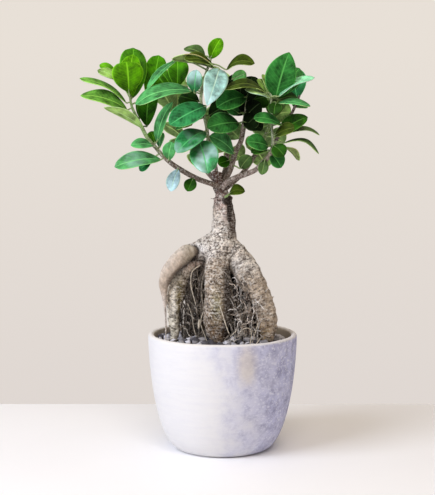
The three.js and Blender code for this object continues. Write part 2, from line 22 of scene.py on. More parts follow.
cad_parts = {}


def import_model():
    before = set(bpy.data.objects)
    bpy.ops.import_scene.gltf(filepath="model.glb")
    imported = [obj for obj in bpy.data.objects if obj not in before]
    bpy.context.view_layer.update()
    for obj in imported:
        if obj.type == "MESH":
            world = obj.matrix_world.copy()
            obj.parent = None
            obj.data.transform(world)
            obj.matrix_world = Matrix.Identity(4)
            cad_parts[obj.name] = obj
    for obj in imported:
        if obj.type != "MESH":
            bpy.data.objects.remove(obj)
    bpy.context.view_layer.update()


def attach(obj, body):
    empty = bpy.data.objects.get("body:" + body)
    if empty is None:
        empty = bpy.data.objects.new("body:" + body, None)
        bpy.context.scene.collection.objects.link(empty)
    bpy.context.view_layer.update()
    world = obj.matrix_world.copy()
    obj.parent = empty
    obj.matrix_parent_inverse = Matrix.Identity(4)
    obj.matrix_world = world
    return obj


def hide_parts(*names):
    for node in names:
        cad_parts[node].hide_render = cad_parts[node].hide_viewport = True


LOG = logging.getLogger("bonsai")
MM = 0.001
SEED = 7141
Row = tuple[float, float, float, float]
Colour = tuple[float, float, float, float]
Triple = tuple[float, float, float]
Socket = bpy.types.NodeSocket


class Tone(Enum):
    """Upper-face colour of a leaf."""

    BRIGHT = "#498300"
    LIME = "#8fb859"
    PALE = "#b4d486"
    SPROUT = "#7fd671"
    FERN = "#5b9034"
    MID = "#3f8a24"
    SPRING = "#367200"
    DEEP = "#2a6a2a"
    DARK = "#1d4a02"
    # Painted shade: a near-black green that stands for the shade deep inside the crown.
    SHADE = "#0d1a06"
    OLIVE = "#36480e"
    TEAL = "#297a42"
    MINT = "#468d4e"
    FROST = "#7cc292"
    # Painted reflection: a whitish blue-green that stands for the light's sheen on a glossy leaf.
    PAINTED_GLEAM = "#96c6bc"
    GREY = "#456230"
    # Painted reflection: a pale sky blue that stands for the light's sheen on a glossy leaf.
    PAINTED_SKY_SHEEN = "#9ab8bf"
    BROWN = "#66613f"


def linear(hex_colour: str, alpha: float = 1.0) -> Colour:
    """Turns an sRGB hex colour into linear light.

    Args:
        hex_colour: Colour such as "#aabbcc".
        alpha: Fourth value of the result.

    Returns:
        Linear red, green, blue and alpha.
    """
    channels = [int(hex_colour[i : i + 2], 16) / 255 for i in (1, 3, 5)]
    light = [c / 12.92 if c <= 0.04045 else ((c + 0.055) / 1.055) ** 2.4 for c in channels]
    return (light[0], light[1], light[2], alpha)


def smooth_step(low: float, high: float, value: Any) -> Any:
    """Eases from 0 at low to 1 at high, for a number or an array."""
    share = np.clip((value - low) / (high - low), 0.0, 1.0)
    return share * share * (3.0 - 2.0 * share)


def curve_at(rows: np.ndarray, places: np.ndarray) -> np.ndarray:
    """Reads a smooth curve through rows.

    Args:
        rows: One row per control point.
        places: Places along the curve, counted in rows from the first.

    Returns:
        One interpolated row for each place.
    """
    last = len(rows) - 1
    start = np.clip(np.floor(places).astype(int), 0, last - 1)
    t = (places - start)[:, None]
    p, q, r, s = (rows[np.clip(start + k, 0, last)] for k in (-1, 0, 1, 2))
    square = 2 * p - 5 * q + 4 * r - s
    cube = 3 * q - p - 3 * r + s
    return q + 0.5 * ((r - p) * t + square * t**2 + cube * t**3)


def lumps(point: Sequence[float], size: float, seed: float = 0.0) -> float:
    """Returns smooth noise from -1 to 1 whose lumps are about size millimetres across."""
    return noise.noise((point[0] / size + seed, point[1] / size - seed, point[2] / size + 2 * seed))


def bell(offset: Any, width: float) -> Any:
    """Returns 1 in the middle, falling away softly on both sides, for a number or an array."""
    return np.exp(-((offset / width) ** 2))


@dataclass(frozen=True)
class Oval:
    """An oval area seen along one axis: its middle and its two half widths, in millimetres."""

    u: float
    v: float
    half_u: float
    half_v: float

    def reach(self, u: Any, v: Any) -> Any:
        """Returns the squared distance from the middle, which is 1 on the edge."""
        return ((u - self.u) / self.half_u) ** 2 + ((v - self.v) / self.half_v) ** 2


def add_node(
    tree: bpy.types.NodeTree, kind: str, inputs: Optional[dict] = None, **settings: Any
) -> bpy.types.Node:
    """Adds a node, sets its options and fills its inputs.

    Args:
        tree: Node tree that gets the node.
        kind: Blender's type name of the node.
        inputs: Input name or index to a value, or to the socket that feeds it.
        **settings: Options of the node, set before its inputs.

    Returns:
        The new node.
    """
    node = tree.nodes.new(kind)
    for option, value in settings.items():
        setattr(node, option, value)
    for key, value in (inputs or {}).items():
        if isinstance(value, bpy.types.NodeSocket):
            tree.links.new(value, node.inputs[key])
        else:
            node.inputs[key].default_value = value
    return node


@dataclass
class Pattern:
    """The nodes of one material. Each method adds a node and returns the socket that carries its result."""

    tree: bpy.types.NodeTree
    shader: bpy.types.Node

    def coords(self) -> Socket:
        """Returns the object's own coordinates, in metres."""
        return add_node(self.tree, "ShaderNodeTexCoord").outputs["Object"]

    def attribute(self, name: str) -> bpy.types.Node:
        """Reads one of the values that a canvas stores."""
        return add_node(self.tree, "ShaderNodeAttribute", attribute_name=name)

    def split(self, vector: Socket) -> tuple[Socket, Socket, Socket]:
        """Takes a vector apart."""
        x, y, z = add_node(self.tree, "ShaderNodeSeparateXYZ", {0: vector}).outputs
        return x, y, z

    def turned(self, vector: Socket, rotation: Triple, scale: Triple) -> Socket:
        """Turns and stretches coordinates."""
        inputs = {"Vector": vector, "Rotation": rotation, "Scale": scale}
        return add_node(self.tree, "ShaderNodeMapping", inputs).outputs[0]

    def noise(self, where: Socket, size: float, detail: float, roughness: float = 0.5) -> Socket:
        """Adds noise whose lumps are about size millimetres across."""
        inputs = {"Vector": where, "Scale": 1 / (size * MM), "Detail": detail, "Roughness": roughness}
        return add_node(self.tree, "ShaderNodeTexNoise", inputs).outputs[0]

    def math(self, operation: str, *values: Union[Socket, float]) -> Socket:
        """Works out a number."""
        return add_node(self.tree, "ShaderNodeMath", dict(enumerate(values)), operation=operation).outputs[0]

    def vector(self, operation: str, *values: Union[Socket, Triple]) -> Socket:
        """Works out a vector or colour."""
        inputs = dict(enumerate(values))
        return add_node(self.tree, "ShaderNodeVectorMath", inputs, operation=operation).outputs[0]

    def scaled(self, colour: Union[Socket, Triple], factor: Socket) -> Socket:
        """Makes a colour lighter or darker."""
        inputs = {0: colour, "Scale": factor}
        return add_node(self.tree, "ShaderNodeVectorMath", inputs, operation="SCALE").outputs[0]

    def ramp(
        self, value: Socket, start: float, end: float, low: float = 0.0, high: float = 1.0, soft: bool = False
    ) -> Socket:
        """Turns the stretch from start to end into low to high.

        Args:
            value: What is read.
            start: Value that gives low.
            end: Value that gives high.
            low: Result at the start.
            high: Result at the end.
            soft: Whether both ends are eased.

        Returns:
            The socket of the result.
        """
        kind = "SMOOTHSTEP" if soft else "LINEAR"
        inputs = {0: value, 1: start, 2: end, 3: low, 4: high}
        return add_node(self.tree, "ShaderNodeMapRange", inputs, interpolation_type=kind).outputs[0]

    def masked(self, value: Socket, start: float, end: float, most: float, mask: Socket) -> Socket:
        """Turns the stretch from start to end into 0 to most, and weakens it by a mask."""
        return self.math("MULTIPLY", self.ramp(value, start, end, 0.0, most), mask)

    def between(self, share: Socket, low: Union[Socket, float], high: Union[Socket, float]) -> Socket:
        """Chooses a number between two by a share."""
        return add_node(self.tree, "ShaderNodeMix", {0: share, 2: low, 3: high}, data_type="FLOAT").outputs[0]

    def layer(self, share: Socket, under: Union[Socket, str], over: Union[Socket, str]) -> Socket:
        """Lays one colour over another. A hex colour is turned linear.

        Args:
            share: How much of the upper colour shows.
            under: Lower colour.
            over: Upper colour.

        Returns:
            The socket of the colour.
        """
        under, over = (linear(colour) if isinstance(colour, str) else colour for colour in (under, over))
        inputs = {0: share, 6: under, 7: over}
        return add_node(self.tree, "ShaderNodeMix", inputs, data_type="RGBA").outputs[2]

    def bump(self, height: Socket, strength: float, depth: float, before: Optional[Socket] = None) -> Socket:
        """Raises the surface by a height.

        Args:
            height: What raises the surface.
            strength: Share of the relief that shows.
            depth: Depth of the relief, in millimetres.
            before: Normal of the bump that this one lies on.

        Returns:
            The socket of the normal.
        """
        inputs = {"Strength": strength, "Distance": depth * MM, "Height": height}
        if before is not None:
            inputs["Normal"] = before
        return add_node(self.tree, "ShaderNodeBump", inputs).outputs[0]

    def feed(self, name: str, value: Socket) -> None:
        """Links a result to an input of the surface."""
        self.tree.links.new(value, self.shader.inputs[name])


@dataclass(frozen=True)
class Finish:
    """A real material: its name, its gloss and the nodes that give its colour and relief."""

    name: str
    roughness: float
    specular: float

    def build(self) -> bpy.types.Material:
        """Makes the material.

        Returns:
            The new material, whose nodes the subclass wires in wire().
        """
        material = bpy.data.materials.new(self.name)
        material.use_nodes = True
        shader = material.node_tree.nodes["Principled BSDF"]
        shader.inputs["Roughness"].default_value = self.roughness
        shader.inputs["Specular IOR Level"].default_value = self.specular
        self.wire(Pattern(material.node_tree, shader))
        return material

    def wire(self, nodes: Pattern) -> None:
        """Adds the pattern nodes of this finish and links them to the surface."""
        raise NotImplementedError


@dataclass(frozen=True)
class CementFinish(Finish):
    """Whitewashed cement: chalky white, brushed round, worn to a mottled lavender grey on its right, where
    the grey also carries painted shade.
    """

    white: str = "#e2e0e0"
    brushed: str = "#d4d2da"
    grey: str = "#bfc0df"
    dark: str = "#8281a4"
    chalk: str = "#e2e2ee"
    stain: str = "#d2c5b2"
    lip: str = "#e3ded8"
    inside: str = "#e0d5c6"
    inside_dark: str = "#a3978a"
    streak_size: float = 26.0
    mottle_size: float = 11.0
    speck_size: float = 2.4
    cloud_size: float = 24.0
    pore_size: float = 1.3
    worn_and_shaded_x: tuple[float, float] = (20.0, 104.0)
    stain_at: Triple = (20.0, -60.0, 84.0)
    stain_size: Triple = (9.0, 30.0, 19.0)
    rubbed_z: tuple[float, float] = (98.6, 100.2)

    def wire(self, nodes: Pattern) -> None:
        """Wires streaks, the worn side with its painted shade, the stain and the bare inner wall.

        Args:
            nodes: The nodes of the material.
        """
        coords = nodes.coords()
        x, _, z = nodes.split(coords)
        # Brush marks run round the pot, so that pattern is squeezed along its height.
        brushed = nodes.turned(coords, (0.0, 0.0, 0.0), (1.0, 1.0, 8.0))
        streaks = nodes.noise(brushed, self.streak_size, 6.0, 0.6)
        mottle = nodes.noise(coords, self.mottle_size, 8.0, 0.72)
        # Specks of wash are drawn out a little: they rise to the right.
        leaning = nodes.turned(coords, (0.0, 0.6, 0.0), (0.7, 1.0, 1.4))
        specks = nodes.noise(leaning, self.speck_size, 4.0, 0.65)
        cloud = nodes.noise(coords, self.cloud_size, 3.0)
        pores = nodes.noise(coords, self.pore_size, 3.0)
        # The worn side starts right of the middle; its grey is partly painted shade on the side away from the
        # light. Its ragged edge leans to the right as it goes down.
        edge = nodes.math("MULTIPLY_ADD", z, 0.1, x)
        edge = nodes.math("MULTIPLY_ADD", cloud, 0.05, edge)
        edge = nodes.math("MULTIPLY_ADD", mottle, 0.02, edge)
        worn_and_shaded = nodes.ramp(edge, self.worn_and_shaded_x[0] * MM, self.worn_and_shaded_x[1] * MM, soft=True)
        body = nodes.layer(nodes.ramp(streaks, 0.42, 0.72, 0.0, 0.28), self.white, self.brushed)
        body = nodes.layer(worn_and_shaded, body, self.grey)
        # In the worn part darker cement shows through, and specks of wash are left.
        patchy = nodes.math("MULTIPLY_ADD", worn_and_shaded, 0.99, 0.01)
        body = nodes.layer(nodes.masked(mottle, 0.44, 0.66, 0.85, patchy), body, self.dark)
        body = nodes.layer(nodes.masked(specks, 0.535, 0.6, 0.75, patchy), body, self.chalk)
        # A faint beige water stain runs down from the rim, right of the middle of the front.
        off = nodes.vector("SUBTRACT", coords, tuple(place * MM for place in self.stain_at))
        off = nodes.vector("MULTIPLY", off, tuple(1 / (size * MM) for size in self.stain_size))
        reach = add_node(nodes.tree, "ShaderNodeVectorMath", {0: off}, operation="LENGTH").outputs[1]
        reach = nodes.math("MULTIPLY_ADD", mottle, 1.1, reach)
        body = nodes.layer(nodes.ramp(reach, 0.9, 1.9, 0.5, 0.0, soft=True), body, self.stain)
        # The top of the lip is rubbed pale.
        rubbed = nodes.ramp(z, self.rubbed_z[0] * MM, self.rubbed_z[1] * MM, 0.0, 0.8)
        body = nodes.layer(rubbed, body, self.lip)
        # The tint's fourth value marks the inner wall, which is bare.
        inner = nodes.attribute("tint").outputs["Alpha"]
        body = nodes.layer(inner, body, nodes.layer(mottle, self.inside, self.inside_dark))
        nodes.feed("Base Color", body)
        coarse = nodes.bump(nodes.math("MULTIPLY_ADD", streaks, 0.6, mottle), 0.5, 0.8)
        nodes.feed("Normal", nodes.bump(pores, 0.4, 0.2, coarse))


@dataclass(frozen=True)
class BarkFinish(Finish):
    """Ficus bark: the piece's own tint under pale corky flecks, dark pores and fine rings across the limb."""

    fleck: str = "#f6f1ea"
    pore: str = "#291d16"
    earth: str = "#5f4a36"
    fleck_size: float = 1.8
    cloud_size: float = 4.0
    patch_size: float = 4.2
    flecks: float = 0.85
    pores: float = 0.95
    ring_depth: float = 0.7

    def wire(self, nodes: Pattern) -> None:
        """Wires the tint, the flecks and pores, and the ringed relief.

        Args:
            nodes: The nodes of the material.
        """
        coords = nodes.coords()
        tint = nodes.attribute("tint")
        corky = tint.outputs["Alpha"]
        cloud = nodes.noise(coords, self.cloud_size, 5.0)
        speck = nodes.noise(coords, self.fleck_size, 4.0, 0.75)
        patch = nodes.noise(coords, self.patch_size, 2.0)
        rings = nodes.noise(nodes.attribute("grain").outputs["Vector"], GRAIN_STEP, 4.0, 0.65)
        # Smooth young root skin, where the tint's fourth value is low, is less clouded.
        clouded = nodes.ramp(corky, 0.0, 0.5, 0.3, 1.0)
        shade = nodes.between(clouded, 1.0, nodes.ramp(cloud, 0.34, 0.66, 0.62, 1.34))
        body = nodes.scaled(tint.outputs["Color"], shade)
        # Earth and old wood show through in warm brown clouds.
        body = nodes.layer(nodes.masked(cloud, 0.5, 0.34, 0.55, corky), body, self.earth)
        # Fine wrinkles run round the limb, faint where the skin is smooth.
        ringed = nodes.ramp(corky, 0.1, 0.35, 0.2, 1.0)
        body = nodes.layer(nodes.masked(rings, 0.46, 0.41, self.ring_depth, ringed), body, self.pore)
        body = nodes.layer(nodes.masked(rings, 0.54, 0.64, 0.5, ringed), body, self.fleck)
        # The tint's fourth value says how thick the flecks and pores lie, and they lie in patches.
        thick = nodes.math("MULTIPLY", nodes.ramp(patch, 0.36, 0.62, 0.4, 1.0), corky)
        body = nodes.layer(nodes.masked(speck, 0.52, 0.555, self.flecks, thick), body, self.fleck)
        body = nodes.layer(nodes.masked(speck, 0.485, 0.45, self.pores, thick), body, self.pore)
        nodes.feed("Base Color", body)
        nodes.feed("Normal", nodes.bump(speck, 0.9, 1.1, nodes.bump(rings, 0.9, 1.4)))


@dataclass(frozen=True)
class LeafFinish(Finish):
    """Waxy leaf: the blade's own tint, a pale midrib, faint side veins, a light margin, a dull underside, and
    a painted sheen on the glossy leaves.
    """

    painted_sheen: str = "#c2e2e4"
    vein_gain: Triple = (3.2, 2.4, 2.6)
    vein_base: Triple = (0.03, 0.05, 0.02)
    vein_limit: Triple = (0.5, 0.72, 0.55)
    veins: float = 11.0
    slant: float = 0.24
    cloud_size: float = 8.0
    patch_size: float = 15.0
    dull: float = 0.85
    underside: float = 0.6

    def wire(self, nodes: Pattern) -> None:
        """Wires the veins from the blade's own coordinates, across in x, along in y and the side in z.

        Args:
            nodes: The nodes of the material.
        """
        coords = nodes.coords()
        tint = nodes.attribute("tint")
        green, gloss = tint.outputs["Color"], tint.outputs["Alpha"]
        across, along, side = nodes.split(nodes.attribute("blade").outputs["Vector"])
        off = nodes.math("ABSOLUTE", nodes.math("SUBTRACT", across, 0.5))
        off = nodes.math("MULTIPLY", off, 2.0)
        cloud = nodes.noise(coords, self.cloud_size, 5.0, 0.6)
        body = nodes.scaled(green, nodes.ramp(cloud, 0.34, 0.66, 0.35, 1.5))
        # The blade is lighter towards its tip.
        body = nodes.scaled(body, nodes.ramp(along, 0.05, 0.8, 0.72, 1.2))
        # A painted sheen: pale patches on the outer part of the glossy leaves stand for the light's
        # reflection in their wax.
        patch = nodes.noise(coords, self.patch_size, 2.0)
        sheen_share = nodes.masked(patch, 0.4, 0.62, 0.9, nodes.ramp(gloss, 0.6, 1.0))
        sheen_share = nodes.math("MULTIPLY", sheen_share, nodes.ramp(along, 0.25, 0.7))
        body = nodes.layer(sheen_share, body, self.painted_sheen)
        # Veins and margin are the blade's own green made paler, so they stay quiet where a blade is dark.
        pale = nodes.vector("MULTIPLY_ADD", green, self.vein_gain, self.vein_base)
        pale = nodes.vector("MINIMUM", pale, self.vein_limit)
        # Side veins leave the midrib at a slant and fade before the margin.
        phase = nodes.math("MULTIPLY_ADD", off, -self.slant, along)
        wave = nodes.math("SINE", nodes.math("MULTIPLY", phase, self.veins * 2 * math.pi))
        rib = nodes.ramp(off, 0.02, 0.08, 0.9, 0.0)
        lines = nodes.math("MAXIMUM", nodes.ramp(wave, 0.7, 1.0, 0.0, 0.17), rib)
        body = nodes.layer(lines, body, pale)
        body = nodes.layer(nodes.ramp(off, 0.91, 0.97, 0.0, 0.95), body, pale)
        nodes.feed("Base Color", body)
        # The tint's fourth value says how glossy a leaf is.
        upper = nodes.ramp(gloss, 0.0, 1.0, self.dull, self.roughness)
        nodes.feed("Roughness", nodes.between(side, upper, self.underside))
        nodes.feed("Specular IOR Level", nodes.ramp(gloss, 0.2, 1.0, 0.04, self.specular))
        nodes.feed("Normal", nodes.bump(nodes.math("MULTIPLY_ADD", lines, -1.0, cloud), 0.4, 0.6))


@dataclass(frozen=True)
class GrainFinish(Finish):
    """Loose mineral or earth: the grain's own tint with darker clouds and a gritty skin."""

    grit: float
    dark: str = "#17120f"
    depth: float = 0.5

    def wire(self, nodes: Pattern) -> None:
        """Wires the tint, its dark clouds and the gritty relief.

        Args:
            nodes: The nodes of the material.
        """
        grit = nodes.noise(nodes.coords(), self.grit, 4.0, 0.65)
        tint = nodes.attribute("tint").outputs["Color"]
        nodes.feed("Base Color", nodes.layer(nodes.ramp(grit, 0.55, 0.35, 0.0, self.depth), tint, self.dark))
        nodes.feed("Normal", nodes.bump(grit, 0.6, 0.4))


@dataclass(frozen=True)
class PaintFinish(Finish):
    """Painted board: one pale colour with a faint cloud in it."""

    colour: str = "#fcfbfc"
    cloud_size: float = 200.0

    def wire(self, nodes: Pattern) -> None:
        """Wires the faint cloud.

        Args:
            nodes: The nodes of the material.
        """
        cloud = nodes.noise(nodes.coords(), self.cloud_size, 2.0)
        shade = nodes.ramp(cloud, 0.3, 0.7, 0.97, 1.0)
        nodes.feed("Base Color", nodes.scaled(linear(self.colour)[:3], shade))


# The grain is stored in steps of one wrinkle, which this size of noise reads one to one.
GRAIN_STEP = 1000.0
# Cast cement under brushed lime wash: a chalky skin without shine, streaked round and blotched where it wore;
# the grey of its worn right side also carries painted shade.
CEMENT = CementFinish("whitewashed_cement", 0.85, 0.3)
# Old fig bark: dry and corky. Pale flecks and dark pores break up the light, and wrinkles ring the limb.
BARK = BarkFinish("ficus_bark", 0.8, 0.3)
# Bark of this year's stems: thin and tight, with small flecks, shallow rings and a faint sheen.
YOUNG_BARK = BarkFinish("young_ficus_stem", 0.6, 0.3, fleck_size=1.1, flecks=0.4, pores=0.5, ring_depth=0.3)
# Dry aerial root hair: straw-like and dull, too thin for more than a hint of flecks.
FIBRE = BarkFinish("dry_root_fibre", 0.85, 0.2, fleck_size=1.0, flecks=0.4, pores=0.4, ring_depth=0.2)
# A thick fig leaf: its wax gives broad soft highlights above, and its underside is pale and dull.
LEAF = LeafFinish("waxy_ficus_leaf", 0.3, 0.25)
# Damp peat mix: nearly black, crumbly and without shine.
SOIL = GrainFinish("dark_potting_soil", 0.95, 0.2, grit=1.2)
# Crushed limestone: dusty grey stones with darker grains.
STONE = GrainFinish("crushed_limestone", 0.8, 0.35, grit=1.0, dark="#57555e", depth=0.45)
# A board under white satin paint, which shows soft shadows.
TABLE = PaintFinish("white_painted_table", 0.5, 0.25)


@dataclass
class Canvas:
    """A mesh in the making, with the values that its materials read at each corner.

    The tint is a colour with a fourth value whose meaning its finish gives, the grain runs round and
    along a limb, and the blade runs across and along a leaf and marks its underside.
    """

    mesh: bmesh.types.BMesh = field(default_factory=bmesh.new)

    def __post_init__(self) -> None:
        """Adds the value layers."""
        layers = self.mesh.loops.layers.float_color
        self.tint, self.grain, self.blade = (layers.new(name) for name in ("tint", "grain", "blade"))

    def paint(self, faces: Iterable[bmesh.types.BMFace], colour: Colour, slot: int = 0) -> None:
        """Gives faces one tint, smooth shading and a material slot.

        Args:
            faces: Faces to paint.
            colour: Linear colour and its fourth value.
            slot: Index of the finish.
        """
        for face in faces:
            face.smooth = True
            face.material_index = slot
            for loop in face.loops:
                loop[self.tint] = colour

    def take(self, part: Canvas) -> None:
        """Adds a part.

        Args:
            part: The part, whose own mesh is freed.
        """
        data = bpy.data.meshes.new("part")
        part.mesh.to_mesh(data)
        part.mesh.free()
        self.mesh.from_mesh(data)
        bpy.data.meshes.remove(data)

    def scatter(self, shape: tuple[list, list], points: np.ndarray, colour: Colour) -> None:
        """Adds a copy of a closed shape whose corners lie at the given points.

        Args:
            shape: Corners and faces, as ball() returns them.
            points: One place in millimetres for each corner.
            colour: Linear tint.
        """
        verts = [self.mesh.verts.new(point) for point in points * MM]
        for corners in shape[1]:
            face = self.mesh.faces.new([verts[i] for i in corners])
            face.smooth = True
            for loop in face.loops:
                loop[self.tint] = colour

    def finish(self, name: str, finishes: Sequence[Finish], slot: str, *nodes: str) -> bpy.types.Object:
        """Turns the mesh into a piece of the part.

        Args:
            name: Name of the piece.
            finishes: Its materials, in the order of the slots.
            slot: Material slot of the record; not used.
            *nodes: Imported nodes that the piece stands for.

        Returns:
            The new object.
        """
        data = bpy.data.meshes.new(name)
        self.mesh.to_mesh(data)
        self.mesh.free()
        piece = bpy.data.objects.new(name, data)
        bpy.context.scene.collection.objects.link(piece)
        for finish in finishes:
            data.materials.append(material_of(finish))
        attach(piece, "root")
        if nodes:
            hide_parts(*nodes)
        LOG.info("%s: %d faces", name, len(data.polygons))
        return piece


_MATERIALS: dict[str, bpy.types.Material] = {}


def material_of(finish: Finish) -> bpy.types.Material:
    """Finds a finish's material, and makes it the first time.

    Args:
        finish: The finish.

    Returns:
        Its material, which every piece with that finish shares.
    """
    if finish.name not in _MATERIALS:
        _MATERIALS[finish.name] = finish.build()
    return _MATERIALS[finish.name]


def turn_round(mesh: bmesh.types.BMesh, outline: Sequence[tuple[float, float]], steps: int) -> None:
    """Spins an outline round the pot's axis.

    Args:
        mesh: Mesh that gets the surface.
        outline: Radius and height of its corners, in millimetres.
        steps: Faces round the axis.
    """
    verts = [mesh.verts.new((radius * MM, 0, height * MM)) for radius, height in outline]
    edges = [mesh.edges.new(pair) for pair in zip(verts, verts[1:])]
    whole = 2 * math.pi
    axis = {"cent": (0, 0, 0), "axis": (0, 0, 1)}
    bmesh.ops.spin(mesh, geom=verts + edges, angle=whole, steps=steps, use_merge=True, **axis)
    bmesh.ops.remove_doubles(mesh, verts=mesh.verts[:], dist=1e-6)


def ball(detail: int) -> tuple[list[Vector], list[tuple[int, ...]]]:
    """Makes a ball of radius 1.

    Args:
        detail: How often its faces are divided.

    Returns:
        Its corners and its faces.
    """
    mesh = bmesh.new()
    bmesh.ops.create_icosphere(mesh, subdivisions=detail, radius=1.0)
    corners = [vert.co.copy() for vert in mesh.verts]
    faces = [tuple(vert.index for vert in face.verts) for face in mesh.faces]
    mesh.free()
    return corners, faces


@dataclass(frozen=True)
class Limb:
    """A stem, root or fibre: control rows of x, y, z and radius down its middle."""

    rows: Sequence[Row]

    def samples(self, per_row: int) -> np.ndarray:
        """Reads the limb at evenly counted places, as rows of x, y, z and radius."""
        table = np.array(self.rows, float)
        return curve_at(table, np.linspace(0, len(table) - 1, (len(table) - 1) * per_row + 1))

    def sweep(self, sides: int, per_row: int, knobble: float = 0.0) -> Canvas:
        """Rolls a grid into a closed tube along the limb.

        Args:
            sides: Corners round the tube.
            per_row: Rings between two control rows.
            knobble: How far the section departs from round, as a share of the radius.

        Returns:
            The tube, as a part of its own.
        """
        line = self.samples(per_row)
        rings = len(line)
        centres = line[:, :3]
        along = np.gradient(centres, axis=0)
        along /= np.maximum(np.linalg.norm(along, axis=1), 1e-9)[:, None]
        lengths = np.concatenate([[0], np.cumsum(np.linalg.norm(np.diff(centres, axis=0), axis=1))])
        across = np.array([0.0, -1.0, 0.0])
        turn = np.linspace(0, 2 * math.pi, sides + 1)
        points = np.empty((rings, sides + 1, 3))
        outward = np.empty((rings, sides + 1, 3))
        for i in range(rings):
            across = across - along[i] * across.dot(along[i])
            across /= np.linalg.norm(across)
            beside = np.cross(along[i], across)
            twist = i / per_row
            lump = 1 + knobble * (np.sin(2 * turn + 1.7 * twist) + 0.6 * np.sin(3 * turn - 2.3 * twist))
            outward[i] = np.outer(np.cos(turn), across) + np.outer(np.sin(turn), beside)
            points[i] = centres[i] + outward[i] * (line[i, 3] * lump)[:, None]
        part = Canvas()
        made = bmesh.ops.create_grid(part.mesh, x_segments=sides, y_segments=rings - 1, size=1.0)["verts"]
        own = {}
        for vert in made:
            k, i = round((vert.co.x + 1) / 2 * sides), round((vert.co.y + 1) / 2 * (rings - 1))
            vert.co = points[i, k] * MM
            own[vert] = (outward[i, k][0] * 1.5, outward[i, k][1] * 1.5, lengths[i] / 1.4, 1.0)
        for face in part.mesh.faces:
            for loop in face.loops:
                loop[part.grain] = own[loop.vert]
        bmesh.ops.remove_doubles(part.mesh, verts=part.mesh.verts[:], dist=1e-7)
        edges = [edge for edge in part.mesh.edges if edge.is_boundary]
        bmesh.ops.holes_fill(part.mesh, edges=edges)
        bmesh.ops.recalc_face_normals(part.mesh, faces=part.mesh.faces[:])
        return part


@dataclass
class Pot:
    """The cast cement pot: a turned shell with a soft lip, a little uneven as hand-finished ware is."""

    height: float = 101.0
    radius: float = 65.0
    foot: float = 39.0
    lip: float = 2.6
    floor: float = 9.0
    belly: tuple = ((52.5, 2.0), (64.0, 45.0))
    steps: int = 120
    unevenness: float = 0.35

    def outline(self) -> list[tuple[float, float, float]]:
        """Draws the turned outline.

        Returns:
            Radius, height and 1 on the inner side, for each corner.
        """
        top = self.height - self.lip
        wall = self.radius - 2 * self.lip
        points = [(0.0, 0.0, 0.0), (self.foot - 6, 0.0, 0.0), (self.foot - 2, 0.0, 0.0)]
        outer = self.bezier((self.foot, 0.25), *self.belly, (self.radius, top), 40)
        points += [(r, z, 0.0) for r, z in outer]
        for i in range(1, 12):
            turn = math.pi * i / 12
            reach = self.radius - self.lip + self.lip * math.cos(turn)
            points.append((reach, top + self.lip * math.sin(turn), 1.0 if turn > 2.5 else 0.0))
        handles = (wall - 1, 48), (wall - 9, self.floor + 1)
        inner = self.bezier((wall, top), *handles, (self.foot - 8, self.floor), 24)
        points += [(r, z, 1.0) for r, z in inner]
        points.append((0.0, self.floor, 1.0))
        return points

    @staticmethod
    def bezier(a: tuple, b: tuple, c: tuple, d: tuple, count: int) -> list[tuple[float, float]]:
        """Walks along a cubic curve.

        Args:
            a: Start.
            b: Handle of the start.
            c: Handle of the end.
            d: End.
            count: Steps along the curve.

        Returns:
            Points on the curve, both ends among them.
        """
        spots = []
        for i in range(count + 1):
            t = i / count
            weights = ((1 - t) ** 3, 3 * t * (1 - t) ** 2, 3 * t * t * (1 - t), t**3)
            spots.append(tuple(sum(w * p[k] for w, p in zip(weights, (a, b, c, d))) for k in (0, 1)))
        return spots

    def build(self) -> bpy.types.Object:
        """Turns the outline and roughens it.

        Returns:
            The pot.
        """
        canvas = Canvas()
        mesh = canvas.mesh
        outline = self.outline()
        turn_round(mesh, [(radius, height) for radius, height, _ in outline], self.steps)
        table = np.array(outline)
        inside = {}
        for vert in mesh.verts:
            reach = math.hypot(vert.co.x, vert.co.y) / MM
            height = vert.co.z / MM
            inside[vert] = table[int(np.argmin((table[:, 0] - reach) ** 2 + (table[:, 1] - height) ** 2)), 2]
            if reach > 1 and height > 1:
                sag = self.unevenness * (lumps(vert.co / MM, 34.0) - 1) * 0.5
                vert.co.x *= 1 + sag / reach
                vert.co.y *= 1 + sag / reach
            if height > self.height - self.lip:
                rise = (height - self.height + self.lip) / self.lip
                vert.co.z += 0.3 * MM * (lumps(vert.co / MM, 20.0, 3.0) - 1) * rise
        bmesh.ops.recalc_face_normals(mesh, faces=mesh.faces[:])
        for face in mesh.faces:
            face.smooth = True
            for loop in face.loops:
                loop[canvas.tint] = (1, 1, 1, inside[loop.vert])
        return canvas.finish("cement_pot", [CEMENT], "cement", "pot")


